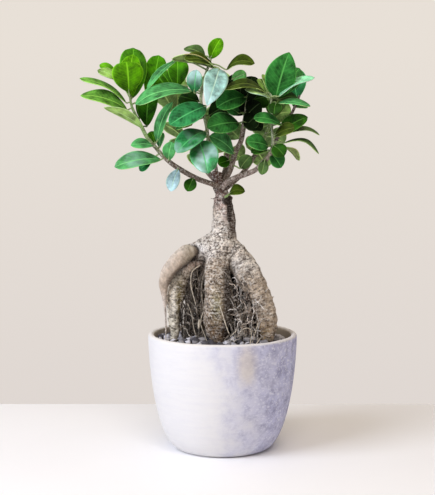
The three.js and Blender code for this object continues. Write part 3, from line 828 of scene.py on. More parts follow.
@dataclass
class Bed:
    """The soil's surface and what lies on it: earth crumbs, and stones thickest in front."""

    feet: Sequence[Row]
    level: float = 92.0
    mound: float = 3.0
    spread: float = 36.0
    roughness: float = 0.45
    radius: float = 59.2
    rings: int = 60
    steps: int = 160
    skirt_radius: float = 0.9
    skirt_height: float = 55.0
    # Each heap is an area and its height: the cage's two gaps and a bank at the left.
    heaps: tuple = ((Oval(-27, -12, 11, 18), 3.2), (Oval(19, -14, 11, 18), 4.2), (Oval(-50, 6, 7, 20), 3.0))
    heaped_soil: float = 0.6
    crumbs: int = 700
    crumb_sizes: tuple[float, float] = (0.6, 1.9)
    crumb_reach: float = 57.5
    crumb_tints: tuple = ("#2a221d", "#3d322a", "#4a3e35", "#221b18", "#5b4e44", "#453830")
    crumb_roughness: float = 0.4
    crumb_rise: float = 0.3
    soil_tint: str = "#332a25"
    stones: int = 230
    tries: int = 12000
    stone_sizes: tuple[float, float] = (2.2, 4.4)
    stone_reach: float = 58.0
    stone_spacing: float = 0.8
    stone_roughness: float = 0.42
    stone_rise: float = 0.4
    stones_in_front: float = 0.8
    front_x: tuple[float, float] = (-50, 50)
    front_y: tuple[float, float] = (-54, 8)
    ring_reach: tuple[float, float] = (36, 57)
    stone_tints: tuple = (
        "#a8a6ab", "#868387", "#cbc8ce", "#5c595e", "#b7b4b8", "#969293", "#403d41", "#d8d5db",
    )
    rng: random.Random = field(default_factory=lambda: random.Random(SEED))

    def height_at(self, x: float, y: float) -> float:
        """Works out the lie of the soil.

        Args:
            x: Place across.
            y: Place in depth.

        Returns:
            The soil's height there, in millimetres.
        """
        mound = self.mound * math.exp(-((math.hypot(x, y) / self.spread) ** 2))
        wave = math.sin(x * 0.15 + 1.2) * math.cos(y * 0.13) + 0.6 * math.sin(x * 0.09 - y * 0.12 + 0.7)
        return self.level + mound + self.roughness * wave

    def heap_at(self, x: float, y: float) -> float:
        """Returns how high the stones are heaped above the soil."""
        return sum(height * math.exp(-area.reach(x, y)) for area, height in self.heaps)

    def soil_at(self, x: float, y: float) -> float:
        """Returns the height of the soil with its share of a heap."""
        return self.height_at(x, y) + self.heaped_soil * self.heap_at(x, y)

    def grain(
        self, shape: tuple[list, list], centre: Sequence[float], size: float, rough: float
    ) -> np.ndarray:
        """Shapes one crumb or stone: a ball flattened, turned and knocked out of shape.

        Args:
            shape: The ball's corners and faces.
            centre: Where it lies.
            size: Half its length.
            rough: How far it departs from a smooth lump.

        Returns:
            The places of its corners.
        """
        turn, tilt = self.rng.uniform(0, 2 * math.pi), self.rng.uniform(-0.6, 0.6)
        seed = self.rng.uniform(0, 50)
        lengths = np.array([1.0, self.rng.uniform(0.65, 0.95), self.rng.uniform(0.5, 0.8)]) * size
        swell = [lumps(corner, 0.9, seed) + 0.4 * lumps(corner, 0.35, seed) for corner in shape[0]]
        points = np.array(shape[0]) * (1 + rough * np.array(swell))[:, None] * lengths
        cos, sin = math.cos(tilt), math.sin(tilt)
        points = points @ np.array([[cos, 0, sin], [0, 1, 0], [-sin, 0, cos]])
        cos, sin = math.cos(turn), math.sin(turn)
        return points @ np.array([[cos, sin, 0], [-sin, cos, 0], [0, 0, 1]]) + np.array(centre)

    def build_soil(self) -> bpy.types.Object:
        """Builds the rough surface and its crumbs.

        Returns:
            The soil.
        """
        canvas = Canvas()
        mesh = canvas.mesh
        turn_round(mesh, [(self.radius * i / self.rings, 0.0) for i in range(self.rings + 1)], self.steps)
        for vert in mesh.verts:
            x, y = vert.co.x / MM, vert.co.y / MM
            rough = 0.9 * lumps((x, y, 0), 4.5) + 0.7 * lumps((x, y, 5), 1.9)
            vert.co.z = (self.soil_at(x, y) + rough - 0.4) * MM
        # A skirt closes the soil low down inside the pot, where nothing shows.
        rim = [edge for edge in mesh.edges if edge.is_boundary]
        for item in bmesh.ops.extrude_edge_only(mesh, edges=rim)["geom"]:
            if isinstance(item, bmesh.types.BMVert):
                item.co *= self.skirt_radius
                item.co.z = self.skirt_height * MM
        bmesh.ops.holes_fill(mesh, edges=[edge for edge in mesh.edges if edge.is_boundary])
        bmesh.ops.recalc_face_normals(mesh, faces=mesh.faces[:])
        canvas.paint(mesh.faces, linear(self.soil_tint))
        shape = ball(2)
        for _ in range(self.crumbs):
            reach, turn = self.crumb_reach * math.sqrt(self.rng.random()), self.rng.uniform(0, 2 * math.pi)
            x, y = reach * math.cos(turn), reach * math.sin(turn)
            size = self.rng.uniform(*self.crumb_sizes)
            place = (x, y, self.soil_at(x, y) + self.crumb_rise * size)
            points = self.grain(shape, place, size, self.crumb_roughness)
            canvas.scatter(shape, points, linear(self.rng.choice(self.crumb_tints)))
        return canvas.finish("potting_soil", [SOIL], "soil", "soil")

    def build_stones(self) -> bpy.types.Object:
        """Scatters the stones: most lie between the roots and the front of the rim.

        Returns:
            The stones.
        """
        canvas = Canvas()
        laid: list[tuple[float, float, float]] = [(x, y, radius) for x, y, _, radius in self.feet]
        shape = ball(3)
        target = len(laid) + self.stones
        for _ in range(self.tries):
            if len(laid) == target:
                break
            size = self.rng.uniform(*self.stone_sizes)
            if self.rng.random() < self.stones_in_front:
                x, y = self.rng.uniform(*self.front_x), self.rng.uniform(*self.front_y)
            else:
                reach, turn = self.rng.uniform(*self.ring_reach), self.rng.uniform(0, 2 * math.pi)
                x, y = reach * math.cos(turn), reach * math.sin(turn)
            if math.hypot(x, y) > self.stone_reach - size:
                continue
            if any(math.hypot(x - a, y - b) < self.stone_spacing * (size + c) for a, b, c in laid):
                continue
            laid.append((x, y, size))
            place = (x, y, self.height_at(x, y) + self.heap_at(x, y) + self.stone_rise * size)
            points = self.grain(shape, place, size, self.stone_roughness)
            canvas.scatter(shape, points, linear(self.rng.choice(self.stone_tints)))
        return canvas.finish("gravel_stones", [STONE], "gravel", "gravel")


@dataclass
class Skin:
    """Places on the trunk's surface, each with the tint that it has so far.

    The fourth value of a tint says how thick flecks and pores lie there.
    """

    points: np.ndarray
    normals: np.ndarray
    gaps: np.ndarray
    names: list[str]

    def __post_init__(self) -> None:
        """Gives every place the plain tint, and finds the limb that it lies on."""
        self.x, self.y, self.z = self.points.T
        self.colour = np.tile(np.array(linear("#bcaa96", 0.8)), (len(self.points), 1))
        self.first = np.argmin(self.gaps, axis=1)
        self.cloud = np.array([lumps(point, 11.0, 4.0) for point in self.points])
        self.front = self.y < 0

    def on(self, name: str, start: Optional[float] = None, end: Optional[float] = None) -> np.ndarray:
        """Returns 1 on a limb and 0 off it, easing in from the height start to the height end."""
        share = (self.first == self.names.index(name)).astype(float)
        return share if start is None else share * smooth_step(start, end, self.z)

    def gap(self, name: str) -> np.ndarray:
        """Returns how far each place is from a limb's skin."""
        return self.gaps[:, self.names.index(name)]

    def blend(self, share: np.ndarray, hex_colour: str, flecks: float = 0.6) -> None:
        """Lays one tint over what is there."""
        target = np.array(linear(hex_colour, flecks))
        self.colour += (target - self.colour) * np.clip(share, 0, 1)[:, None]


@dataclass
class Trunk:
    """The stem, the swollen caudex and the thick roots, grown together under one skin of bark."""

    limbs: dict[str, Limb]
    knots: Sequence[Limb]
    voxel: float = 0.9
    smoothing: int = 4
    # Two limbs that meet in a crease darkened with painted shade, and the heights between which it shows.
    creases: tuple = (
        ("lobe", "shoulder", 0, 300),
        ("lobe", "left", 146, 300),
        ("middle", "right", 0, 166),
        ("left", "shoulder", 0, 166),
    )
    callus: Oval = Oval(2.6, 205, 2.9, 8.5)
    scar: Oval = Oval(5.9, 206, 2.1, 9.5)
    scar_depth: float = 1.4
    # Painted shade: the dark patch that stands for the hollow above the callus.
    painted_hollow_shade: Oval = Oval(3.4, 217, 4.6, 4.2)
    moss: Oval = Oval(-5, 127, 5, 15)
    heart_y: float = 8.0
    wrinkle_depth: float = 0.6
    crease_depth: float = 1.2
    sunk: float = 0.15

    def body(self) -> bpy.types.Mesh:
        """Melts the swept limbs into one closed mesh.

        Returns:
            The even-meshed body, in metres.
        """
        canvas = Canvas()
        for limb in self.limbs.values():
            canvas.take(limb.sweep(28, 8, knobble=0.05))
        for limb in self.knots:
            canvas.take(limb.sweep(14, 6))
        rough = bpy.data.meshes.new("rough_trunk")
        canvas.mesh.to_mesh(rough)
        canvas.mesh.free()
        holder = bpy.data.objects.new("rough_trunk", rough)
        bpy.context.scene.collection.objects.link(holder)
        remesh = holder.modifiers.new("melt", "REMESH")
        remesh.mode = "VOXEL"
        remesh.voxel_size = self.voxel * MM
        graph = bpy.context.evaluated_depsgraph_get()
        melted = bpy.data.meshes.new_from_object(holder.evaluated_get(graph))
        bpy.data.objects.remove(holder)
        bpy.data.meshes.remove(rough)
        return melted

    def nearest(self, points: np.ndarray) -> tuple[np.ndarray, np.ndarray, np.ndarray]:
        """Finds how far each point is from each limb's skin, and where on the nearest limb it lies.

        Args:
            points: Points in millimetres.

        Returns:
            Distances, one column per limb; the length along the nearest limb; the outward direction.
        """
        lines = [limb.samples(10) for limb in self.limbs.values()]
        gaps = np.empty((len(points), len(lines)))
        place = np.empty((len(points), len(lines)))
        spokes = np.empty((len(points), len(lines), 3))
        for k, line in enumerate(lines):
            lengths = np.concatenate([[0], np.cumsum(np.linalg.norm(np.diff(line[:, :3], axis=0), axis=1))])
            for start in range(0, len(points), 8000):
                some = slice(start, start + 8000)
                far = np.linalg.norm(points[some, None, :] - line[None, :, :3], axis=2) - line[None, :, 3]
                best = np.argmin(far, axis=1)
                gaps[some, k] = far[np.arange(len(best)), best]
                place[some, k] = lengths[best]
                spokes[some, k] = points[some] - line[best, :3]
        first = np.argmin(gaps, axis=1)
        rows = np.arange(len(points))
        out = spokes[rows, first]
        out /= np.maximum(np.linalg.norm(out, axis=1), 1e-6)[:, None]
        return gaps, place[rows, first], out

    def tint_roots(self, skin: Skin) -> None:
        """Tints each root along its length: grey above, browner and more worn towards the soil, with painted
        shade on the right sides of the left and middle roots and painted light on the front of the right
        root.

        Args:
            skin: Places on the trunk, whose tints are changed.
        """
        x, z, cloud = skin.x, skin.z, skin.cloud
        skin.blend(skin.on("left", 168, 150), "#ddd3c3", 0.5)
        skin.blend(skin.on("left", 158, 140) * smooth_step(-42, -38, x) * (z > 100), "#85764e", 0.6)
        skin.blend(skin.on("left", 125, 108), "#f0e7d2", 0.45)
        # Painted shade: the left root's right side, towards the gap, is darkened.
        skin.blend(skin.on("left", 158, 150) * smooth_step(-37, -33, x) * 0.7, "#6b5a48", 0.4)
        skin.blend(skin.on("left") * bell(z - 163, 7) * 0.7, "#9c7868", 0.3)
        skin.blend(skin.on("middle", 176, 150), "#a5907a", 0.65)
        skin.blend(skin.on("middle") * np.exp(-self.moss.reach(x, z)) * 0.6, "#80804e", 0.5)
        skin.blend(skin.on("middle", 125, 100) * (0.8 + 0.4 * cloud), "#74593b", 0.5)
        # Painted shade: the middle root's right side, away from the light, is darkened.
        skin.blend(skin.on("middle", 168, 156) * smooth_step(-1.5, 3.0, x) * 0.95, "#2a1f18", 0.3)
        skin.blend(skin.on("right", 168, 152), "#b9a793", 0.38)
        # Painted light: the front of the right root's upper part is made paler.
        front_lit = smooth_step(0.3, -0.2, skin.normals[:, 1])
        skin.blend(skin.on("right") * bell(z - 163, 8) * front_lit, "#e2d8cd", 0.6)
        skin.blend(skin.on("right", 128, 95) * 0.7, "#c8b095", 0.45)
        toe = bell(z - 101, 9) * smooth_step(43, 37, x + 3 * cloud)
        skin.blend(skin.on("right") * toe * 0.6, "#c9a468", 0.5)
        for name in ("back_left", "back_right", "back_thin"):
            skin.blend(skin.on(name, 165, 130), "#93816f", 0.5)

    def tint_stem(self, skin: Skin) -> None:
        """Tints the stem: pale and flecked at its waist, brown above, with painted shade along its right
        side.

        Args:
            skin: Places on the trunk, whose tints are changed.
        """
        x, y, z, cloud = skin.x, skin.y, skin.z, skin.cloud
        waist = smooth_step(163, 180, z) * smooth_step(216, 196, z)
        skin.blend(waist * (0.85 + 0.3 * cloud), "#dccfc3", 0.85)
        shoulder = ((x + 17) / 8) ** 2 + ((y + 12) / 10) ** 2 + ((z - 174) / 8) ** 2
        skin.blend(np.exp(-shoulder) * 1.1, "#e4deda", 1.1)
        skin.blend(smooth_step(202, 218, z + 5 * cloud), "#a0837a", 0.7)
        skin.blend(smooth_step(218, 226, z), "#4a2b20", 0.3)
        # Painted shade: the right side of the stem, away from the light, is darkened.
        skin.blend(smooth_step(1.5, 6.5, x + 1.5 * cloud) * smooth_step(180, 190, z) * 0.92, "#443025", 0.4)
        # A long dark scar lies right of the front of the stem, with a pale callus along its left.
        skin.blend(smooth_step(1.3, 0.4, self.callus.reach(x, z)) * skin.front * 0.9, "#b5a399", 0.3)
        skin.blend(smooth_step(1.3, 0.7, self.scar.reach(x, z)) * skin.front, "#2a1a13", 0.2)
        # Painted shade: the hollow above the callus is darkened, not carved.
        skin.blend(smooth_step(1.3, 0.6, self.painted_hollow_shade.reach(x, z)) * skin.front, "#2c1e17", 0.1)

    def tint_lobe(self, skin: Skin) -> None:
        """Tints the lobe: smooth, with painted light on its top and left and painted shade underneath, and
        darker at its end.

        Args:
            skin: Places on the trunk, whose tints are changed.
        """
        across, _, up = skin.normals.T
        skin.blend(skin.on("lobe", 200, 170), "#c9b6a4", 0.1)
        # Painted light: faces that turn up and to the left, towards the light, are made paler.
        skin.blend(skin.on("lobe") * smooth_step(0.25, 0.85, up - 0.35 * across) * 0.7, "#dccdbf", 0.15)
        # Painted shade: faces that turn down and to the right, away from the light, are darkened.
        skin.blend(skin.on("lobe") * smooth_step(-0.3, -0.8, up - 0.4 * across) * 0.7, "#705c4b", 0.15)
        skin.blend(skin.on("lobe") * smooth_step(-38, -28, skin.x) * 0.7, "#9d917d", 0.1)
        skin.blend(skin.on("lobe") * smooth_step(-26, -22.5, skin.x) * 0.6, "#5d4d40", 0.2)
        skin.blend(skin.on("lobe", 143, 128), "#e8dace", 0.2)

    def tint_shade_and_feet(self, skin: Skin) -> None:
        """Paints shade into the creases, the undersides and what faces the heart of the cage, and darkens the
        feet near the soil.

        Args:
            skin: Places on the trunk, whose tints are changed.
        """
        x, y, z = skin.x, skin.y - self.heart_y, skin.z
        for one, other, low, top in self.creases:
            a, b = skin.gap(one), skin.gap(other)
            # Painted shade: a dark line where two limbs meet.
            crease_shade = bell(a - b, 1.3) * smooth_step(3.0, 1.0, np.minimum(a, b)) * smooth_step(top + 4, top, z)
            skin.blend(crease_shade * smooth_step(low - 4, low + 4, z), "#20160f", 0.1)
        off_lobe = 1 - skin.on("lobe")
        # Painted shade on what faces the heart of the cage, off the lobe.
        inwards = -(skin.normals[:, 0] * x + skin.normals[:, 1] * y) / np.maximum(np.hypot(x, y), 4)
        skin.blend(smooth_step(0.0, 0.6, inwards) * smooth_step(176, 160, z) * off_lobe * 0.9, "#2c2119", 0.2)
        # Painted shade on undersides.
        underside_shade = smooth_step(-0.25, -0.8, skin.normals[:, 2])
        skin.blend(underside_shade * smooth_step(200, 180, z) * 0.75, "#40322a", 0.2)
        # Darker near the soil.
        skin.blend(smooth_step(99, 93, z) * 0.5 * off_lobe, "#6d543c", 0.2)

    def build(self) -> bpy.types.Object:
        """Builds the trunk with its lumps, wrinkles and tints.

        Returns:
            The trunk.
        """
        melted = self.body()
        canvas = Canvas()
        mesh = canvas.mesh
        mesh.from_mesh(melted)
        bpy.data.meshes.remove(melted)
        for _ in range(self.smoothing):
            bmesh.ops.smooth_vert(
                mesh, verts=mesh.verts[:], factor=0.5, use_axis_x=True, use_axis_y=True, use_axis_z=True
            )
        mesh.normal_update()
        points = np.array([v.co for v in mesh.verts]) / MM
        normals = np.array([v.normal for v in mesh.verts])
        gaps, place, out = self.nearest(points)
        skin = Skin(points, normals, gaps, list(self.limbs))
        for tint in (self.tint_roots, self.tint_stem, self.tint_lobe, self.tint_shade_and_feet):
            tint(skin)
        skin.colour[:, 3] = np.clip(skin.colour[:, 3], 0, 1)
        first = skin.first
        from_lobe = skin.gap("lobe")
        beside = np.minimum(skin.gap("shoulder"), skin.gap("left"))
        crease = bell(from_lobe - beside, 1.4) * (from_lobe < 2)
        calm = np.where(skin.on("lobe") > 0, 0.4, 1.0)
        cut = np.where(skin.front, np.clip(1 - self.scar.reach(skin.x, skin.z), 0, 1), 0)
        for i, vert in enumerate(mesh.verts):
            # Broad and small lumps, wrinkles across the limb, the crease beside the lobe, and the scar.
            lift = calm[i] * (0.8 * lumps(points[i], 9.0) + 0.5 * lumps(points[i], 3.4, 2.0))
            wrinkle = noise.noise((out[i][0] * 1.2, out[i][1] * 1.2, place[i] / 2.6 + 7 * first[i]))
            lift += self.wrinkle_depth * calm[i] * wrinkle - self.sunk
            lift -= self.crease_depth * crease[i]
            lift -= self.scar_depth * cut[i]
            vert.co += vert.normal * lift * MM
        mesh.verts.index_update()
        tints = [tuple(row) for row in skin.colour]
        steps = place / 1.3 + 9 * first
        grain = [(spoke[0] * 1.5, spoke[1] * 1.5, step, 1.0) for spoke, step in zip(out, steps)]
        for face in mesh.faces:
            face.smooth = True
            for loop in face.loops:
                i = loop.vert.index
                loop[canvas.tint] = tints[i]
                loop[canvas.grain] = grain[i]
        return canvas.finish("trunk_and_roots", [BARK], "bark", "trunk")


@dataclass
class FibreBed:
    """A curtain of fine roots: where they leave their parents, where they meet the soil, and their look."""

    parents: Sequence[Limb]
    starts: tuple[float, float]
    patch_x: tuple[float, float]
    patch_y: tuple[float, float]
    count: int
    tints: Sequence[str]
    crook: float = 2.0
    radii: tuple[float, float] = (0.18, 0.45)
    tangled: float = 0.3
    low: float = 4.0
    high: float = 30.0


@dataclass
class FineRoots:
    """The fine fibrous roots in the gaps of the cage, and the few loose pale ones in front."""

    beds: Sequence[FibreBed]
    loose: Sequence[Limb]
    soil: Bed
    loose_tint: str = "#e6d8c2"
    tangle_step: float = 2.1
    rng: random.Random = field(default_factory=lambda: random.Random(SEED + 1))

    def sway(self, crook: float) -> float:
        """Draws a sideways step."""
        return self.rng.gauss(0, crook * 0.6)

    def hanging(self, bed: FibreBed) -> Limb:
        """Draws one fibre from a parent's skin down to the soil, crooked as it goes.

        Args:
            bed: Where the fibre grows and how it looks.

        Returns:
            The fibre.
        """
        parent = np.array(self.rng.choice(bed.parents).rows, float)
        start = curve_at(parent, np.array([self.rng.uniform(*bed.starts)]))[0]
        turn = self.rng.uniform(0, 2 * math.pi)
        top = start[:3] + np.array([math.cos(turn), math.sin(turn), -0.4]) * start[3] * 0.75
        x, y = self.rng.uniform(*bed.patch_x), self.rng.uniform(*bed.patch_y)
        end = np.array([x, y, self.soil.height_at(x, y) - 1.0])
        radius = self.rng.uniform(*bed.radii)
        rows = []
        drift = np.zeros(3)
        for i in range(8):
            t = i / 7
            fall = t**0.6
            spot = top + (end - top) * np.array([fall, fall, t])
            step = [self.sway(bed.crook), self.sway(bed.crook), self.sway(bed.crook * 0.7)]
            drift = 0.6 * drift + np.array(step)
            rows.append((*(spot + drift * math.sin(math.pi * min(1, t * 1.1))), radius * (1.2 - 0.45 * t)))
        return Limb(rows)

    def tangle(self, bed: FibreBed) -> Limb:
        """Draws one short fibre that wanders about inside the gap.

        Args:
            bed: Where the fibre grows and how it looks.

        Returns:
            The fibre.
        """
        x, y = self.rng.uniform(*bed.patch_x), self.rng.uniform(*bed.patch_y)
        z = self.soil.height_at(x, y) + self.rng.uniform(bed.low, bed.high)
        heading = np.array([self.rng.gauss(0, 1), self.rng.gauss(0, 0.6), self.rng.gauss(0, 1)])
        spot = np.array([x, y, z])
        radius = self.rng.uniform(*bed.radii)
        rows = []
        for _ in range(7):
            heading = heading / np.linalg.norm(heading) + np.array([self.rng.gauss(0, 0.5) for _ in range(3)])
            spot = spot + self.tangle_step * heading / np.linalg.norm(heading)
            rows.append((*spot, radius))
        return Limb(rows)

    def build(self) -> bpy.types.Object:
        """Builds every fibre.

        Returns:
            The fibres, as one piece.
        """
        canvas = Canvas()
        for bed in self.beds:
            for _ in range(bed.count):
                wanders = self.rng.random() < bed.tangled
                part = (self.tangle(bed) if wanders else self.hanging(bed)).sweep(5, 2)
                part.paint(part.mesh.faces, linear(self.rng.choice(bed.tints), 0.5))
                canvas.take(part)
        for limb in self.loose:
            part = limb.sweep(6, 4)
            part.paint(part.mesh.faces, linear(self.loose_tint, 0.3))
            canvas.take(part)
        return canvas.finish("fibrous_roots", [FIBRE], "bark")


@dataclass(frozen=True)
class Leaf:
    """One leaf: the base and tip of its blade, its width, how far its face is turned up, and its shape."""

    base_x: float
    base_y: float
    base_z: float
    tip_x: float
    tip_y: float
    tip_z: float
    width: float
    roll: float
    tone: Tone
    bow: float = 0.1
    peak: float = 0.56
    point: float = 0.62
    fold: float = 0.24
    curl: float = 0.0
    gloss: float = 0.5

    @property
    def base(self) -> Vector:
        """Base of the blade, where the petiole ends."""
        return Vector((self.base_x, self.base_y, self.base_z))

    @property
    def tip(self) -> Vector:
        """Tip of the blade."""
        return Vector((self.tip_x, self.tip_y, self.tip_z))

    def half_width(self, t: float) -> float:
        """Works out the blade's outline.

        Args:
            t: Share of the length, from the base.

        Returns:
            Half the width there, in millimetres.
        """
        t = min(max(t, 0.0), 1.0)
        first = self.point * self.peak / (1 - self.peak)
        top = self.peak**first * (1 - self.peak) ** self.point
        return 0.5 * self.width * max(0.03, t**first * (1 - t) ** self.point / top)

    def frame(self, middle: float) -> tuple[Vector, Vector, Vector]:
        """Works out how the blade lies.

        Args:
            middle: Depth of the crown's middle: leaves behind it face the back.

        Returns:
            The directions along the blade, off its upper face and across it.
        """
        along = (self.tip - self.base).normalized()
        outwards = Vector((0, 1 if self.base_y > middle else -1, 0))
        flat = (outwards - along * outwards.dot(along)).normalized()
        up = along.cross(flat)
        if up.z < 0:
            up.negate()
        angle = math.radians(self.roll)
        face = flat * math.cos(angle) + up * math.sin(angle)
        return along, face, along.cross(face)


@dataclass
class LeafyStem:
    """A leafy stem: its bark, petioles and blades."""

    node: str
    stem: Limb
    leaves: Sequence[Leaf]
    wood: str = "#6b5648"
    green: str = "#8fae68"
    under: str = "#8ba35f"
    green_from: float = 0.6
    crown_middle: float = 20.0
    crown_heart: Triple = (0.0, 8.0, 300.0)
    crown_size: Triple = (75.0, 50.0, 52.0)
    # Painted shade: the factor on a blade's tint at the heart of the crown.
    heart_shade_factor: float = 0.35
    thickness: float = 0.55
    groove_depth: float = 0.25
    groove_width: float = 0.8
    petiole_radii: Row = (0.8, 0.65, 0.6, 0.3)
    petiole_dark: str = "#6f8c48"
    petiole_light: str = "#a5bd7a"
    along_steps: int = 20
    across_steps: int = 12

    def blade(self, leaf: Leaf, rng: random.Random) -> Canvas:
        """Bends a grid into one blade, thickens it and stores its own coordinates.

        Args:
            leaf: The leaf's measures.
            rng: Draws that make each blade a little different.

        Returns:
            The blade, as a part of its own.
        """
        part = Canvas()
        along, face_up, beside = leaf.frame(self.crown_middle)
        length = (leaf.tip - leaf.base).length
        phase, wave = rng.uniform(0, 6.28), rng.uniform(0.03, 0.1)
        twist, skew = rng.uniform(-0.22, 0.22), rng.uniform(-0.08, 0.08)
        bend = rng.uniform(-0.05, 0.05)
        counts = {"x_segments": self.across_steps, "y_segments": self.along_steps}
        made = bmesh.ops.create_grid(part.mesh, size=1.0, **counts)
        own = {}
        for vert in made["verts"]:
            u, t = vert.co.x, (vert.co.y + 1) / 2
            half = leaf.half_width(t) * (1 + skew * u)
            arch = 4 * t * (1 - t)
            # The blade bows, folds up on both sides of its midrib, and its edges droop and wave.
            lift = leaf.bow * length * arch
            lift += leaf.fold * abs(u) ** 1.3 * half * math.sin(math.pi * min(1, t * 0.8 + 0.15))
            lift -= 0.1 * half * u**4
            lift += wave * half * u * u * math.sin(5.5 * t + phase + (2.0 if u > 0 else 0.0))
            # It twists a little, its tip may curl down, and the midrib lies in a groove.
            lift += twist * (t - 0.4) * u * half
            lift -= leaf.curl * length * smooth_step(0.62, 1.0, t) ** 2
            lift -= self.groove_depth * bell(u * half, self.groove_width)
            side = u * half + 0.5 * bend * length * arch
            vert.co = (leaf.base + along * (length * t) + beside * side + face_up * lift) * MM
            own[vert] = (u / 2 + 0.5, t, 0.0, 1.0)
        part.mesh.normal_update()
        faces = part.mesh.faces[:]
        for face in faces:
            for loop in face.loops:
                loop[part.blade] = own[loop.vert]
        if sum(face.normal.dot(face_up) for face in faces) < 0:
            bmesh.ops.reverse_faces(part.mesh, faces=faces)
            part.mesh.normal_update()
        bmesh.ops.solidify(part.mesh, geom=faces, thickness=self.thickness * MM)
        bmesh.ops.recalc_face_normals(part.mesh, faces=part.mesh.faces[:])
        part.paint(part.mesh.faces, (0, 0, 0, 1), 0)
        upper = np.array(linear(leaf.tone.value, leaf.gloss))
        # The underside is duller. On the dark and shade tones it stays nearly as dark as the upper face, so
        # the painted shade deep in the crown holds on both faces.
        pale = 0.15 if leaf.tone in (Tone.SHADE, Tone.DARK) else 0.6
        lower = upper + (np.array(linear(self.under, leaf.gloss)) - upper) * pale
        for face in part.mesh.faces:
            turned = face.normal.dot(face_up) < -0.15
            for loop in face.loops:
                u, t, _, alpha = loop[part.blade]
                loop[part.blade] = (u, t, 1.0 if turned else 0.0, alpha)
                # Painted shade: each corner's tint is darkened by its nearness to the heart of the crown.
                light = self.painted_shade_factor(loop.vert.co)
                loop[part.tint] = (lower if turned else upper) * (light, light, light, 1)
        return part

    def painted_shade_factor(self, spot: Vector) -> float:
        """Works out the painted shade on a blade: near the heart of the crown its tint is darkened, standing
        for the shade that the leaves around it cast.

        Args:
            spot: Place in metres.

        Returns:
            Factor on the blade's tint.
        """
        parts = zip(spot / MM, self.crown_heart, self.crown_size)
        reach = math.sqrt(sum(((place - middle) / size) ** 2 for place, middle, size in parts))
        return self.heart_shade_factor + (1 - self.heart_shade_factor) * float(smooth_step(0.25, 0.8, reach))

    def petiole(self, leaf: Leaf, line: np.ndarray) -> Canvas:
        """Sweeps the stalk from the stem to the blade's base and a little way under the midrib.

        Args:
            leaf: The leaf that the stalk bears.
            line: Places along the stem, as rows of x, y, z and radius.

        Returns:
            The stalk, as a part of its own.
        """
        base = np.array(leaf.base)
        foot = line[int(np.argmin(np.linalg.norm(line[:, :3] - base, axis=1))), :3]
        along, face_up, _ = leaf.frame(self.crown_middle)
        reach = float(np.linalg.norm(base - foot))
        middle = (foot + base) / 2 + np.array([0, 0, 0.08 * reach])
        inner = base + np.array(along) * 4 + np.array(face_up) * (leaf.bow * 12 - 0.5)
        rows = [(*spot, radius) for spot, radius in zip((foot, middle, base, inner), self.petiole_radii)]
        part = Limb(rows).sweep(7, 4)
        dark = leaf.tone in (Tone.DARK, Tone.SHADE, Tone.DEEP)
        part.paint(part.mesh.faces, linear(self.petiole_dark if dark else self.petiole_light, 0.2), 1)
        return part

    def build(self) -> bpy.types.Object:
        """Builds the stem with all its leaves.

        Returns:
            The leafy stem.
        """
        canvas = Canvas()
        rng = random.Random(SEED + len(self.node))
        line = self.stem.samples(12)
        part = self.stem.sweep(12, 8, knobble=0.06)
        wood, green = np.array(linear(self.wood, 0.8)), np.array(linear(self.green, 0.3))
        part.paint(part.mesh.faces, tuple(wood), 1)
        for face in part.mesh.faces:
            for loop in face.loops:
                spot = np.array(loop.vert.co) / MM
                share = int(np.argmin(np.linalg.norm(line[:, :3] - spot, axis=1))) / (len(line) - 1)
                young = smooth_step(self.green_from - 0.2, self.green_from + 0.2, share)
                loop[part.tint] = wood + (green - wood) * young
        canvas.take(part)
        for leaf in self.leaves:
            canvas.take(self.petiole(leaf, line))
            canvas.take(self.blade(leaf, rng))
        return canvas.finish(self.node + "_leaves", [LEAF, YOUNG_BARK], "foliage", self.node)


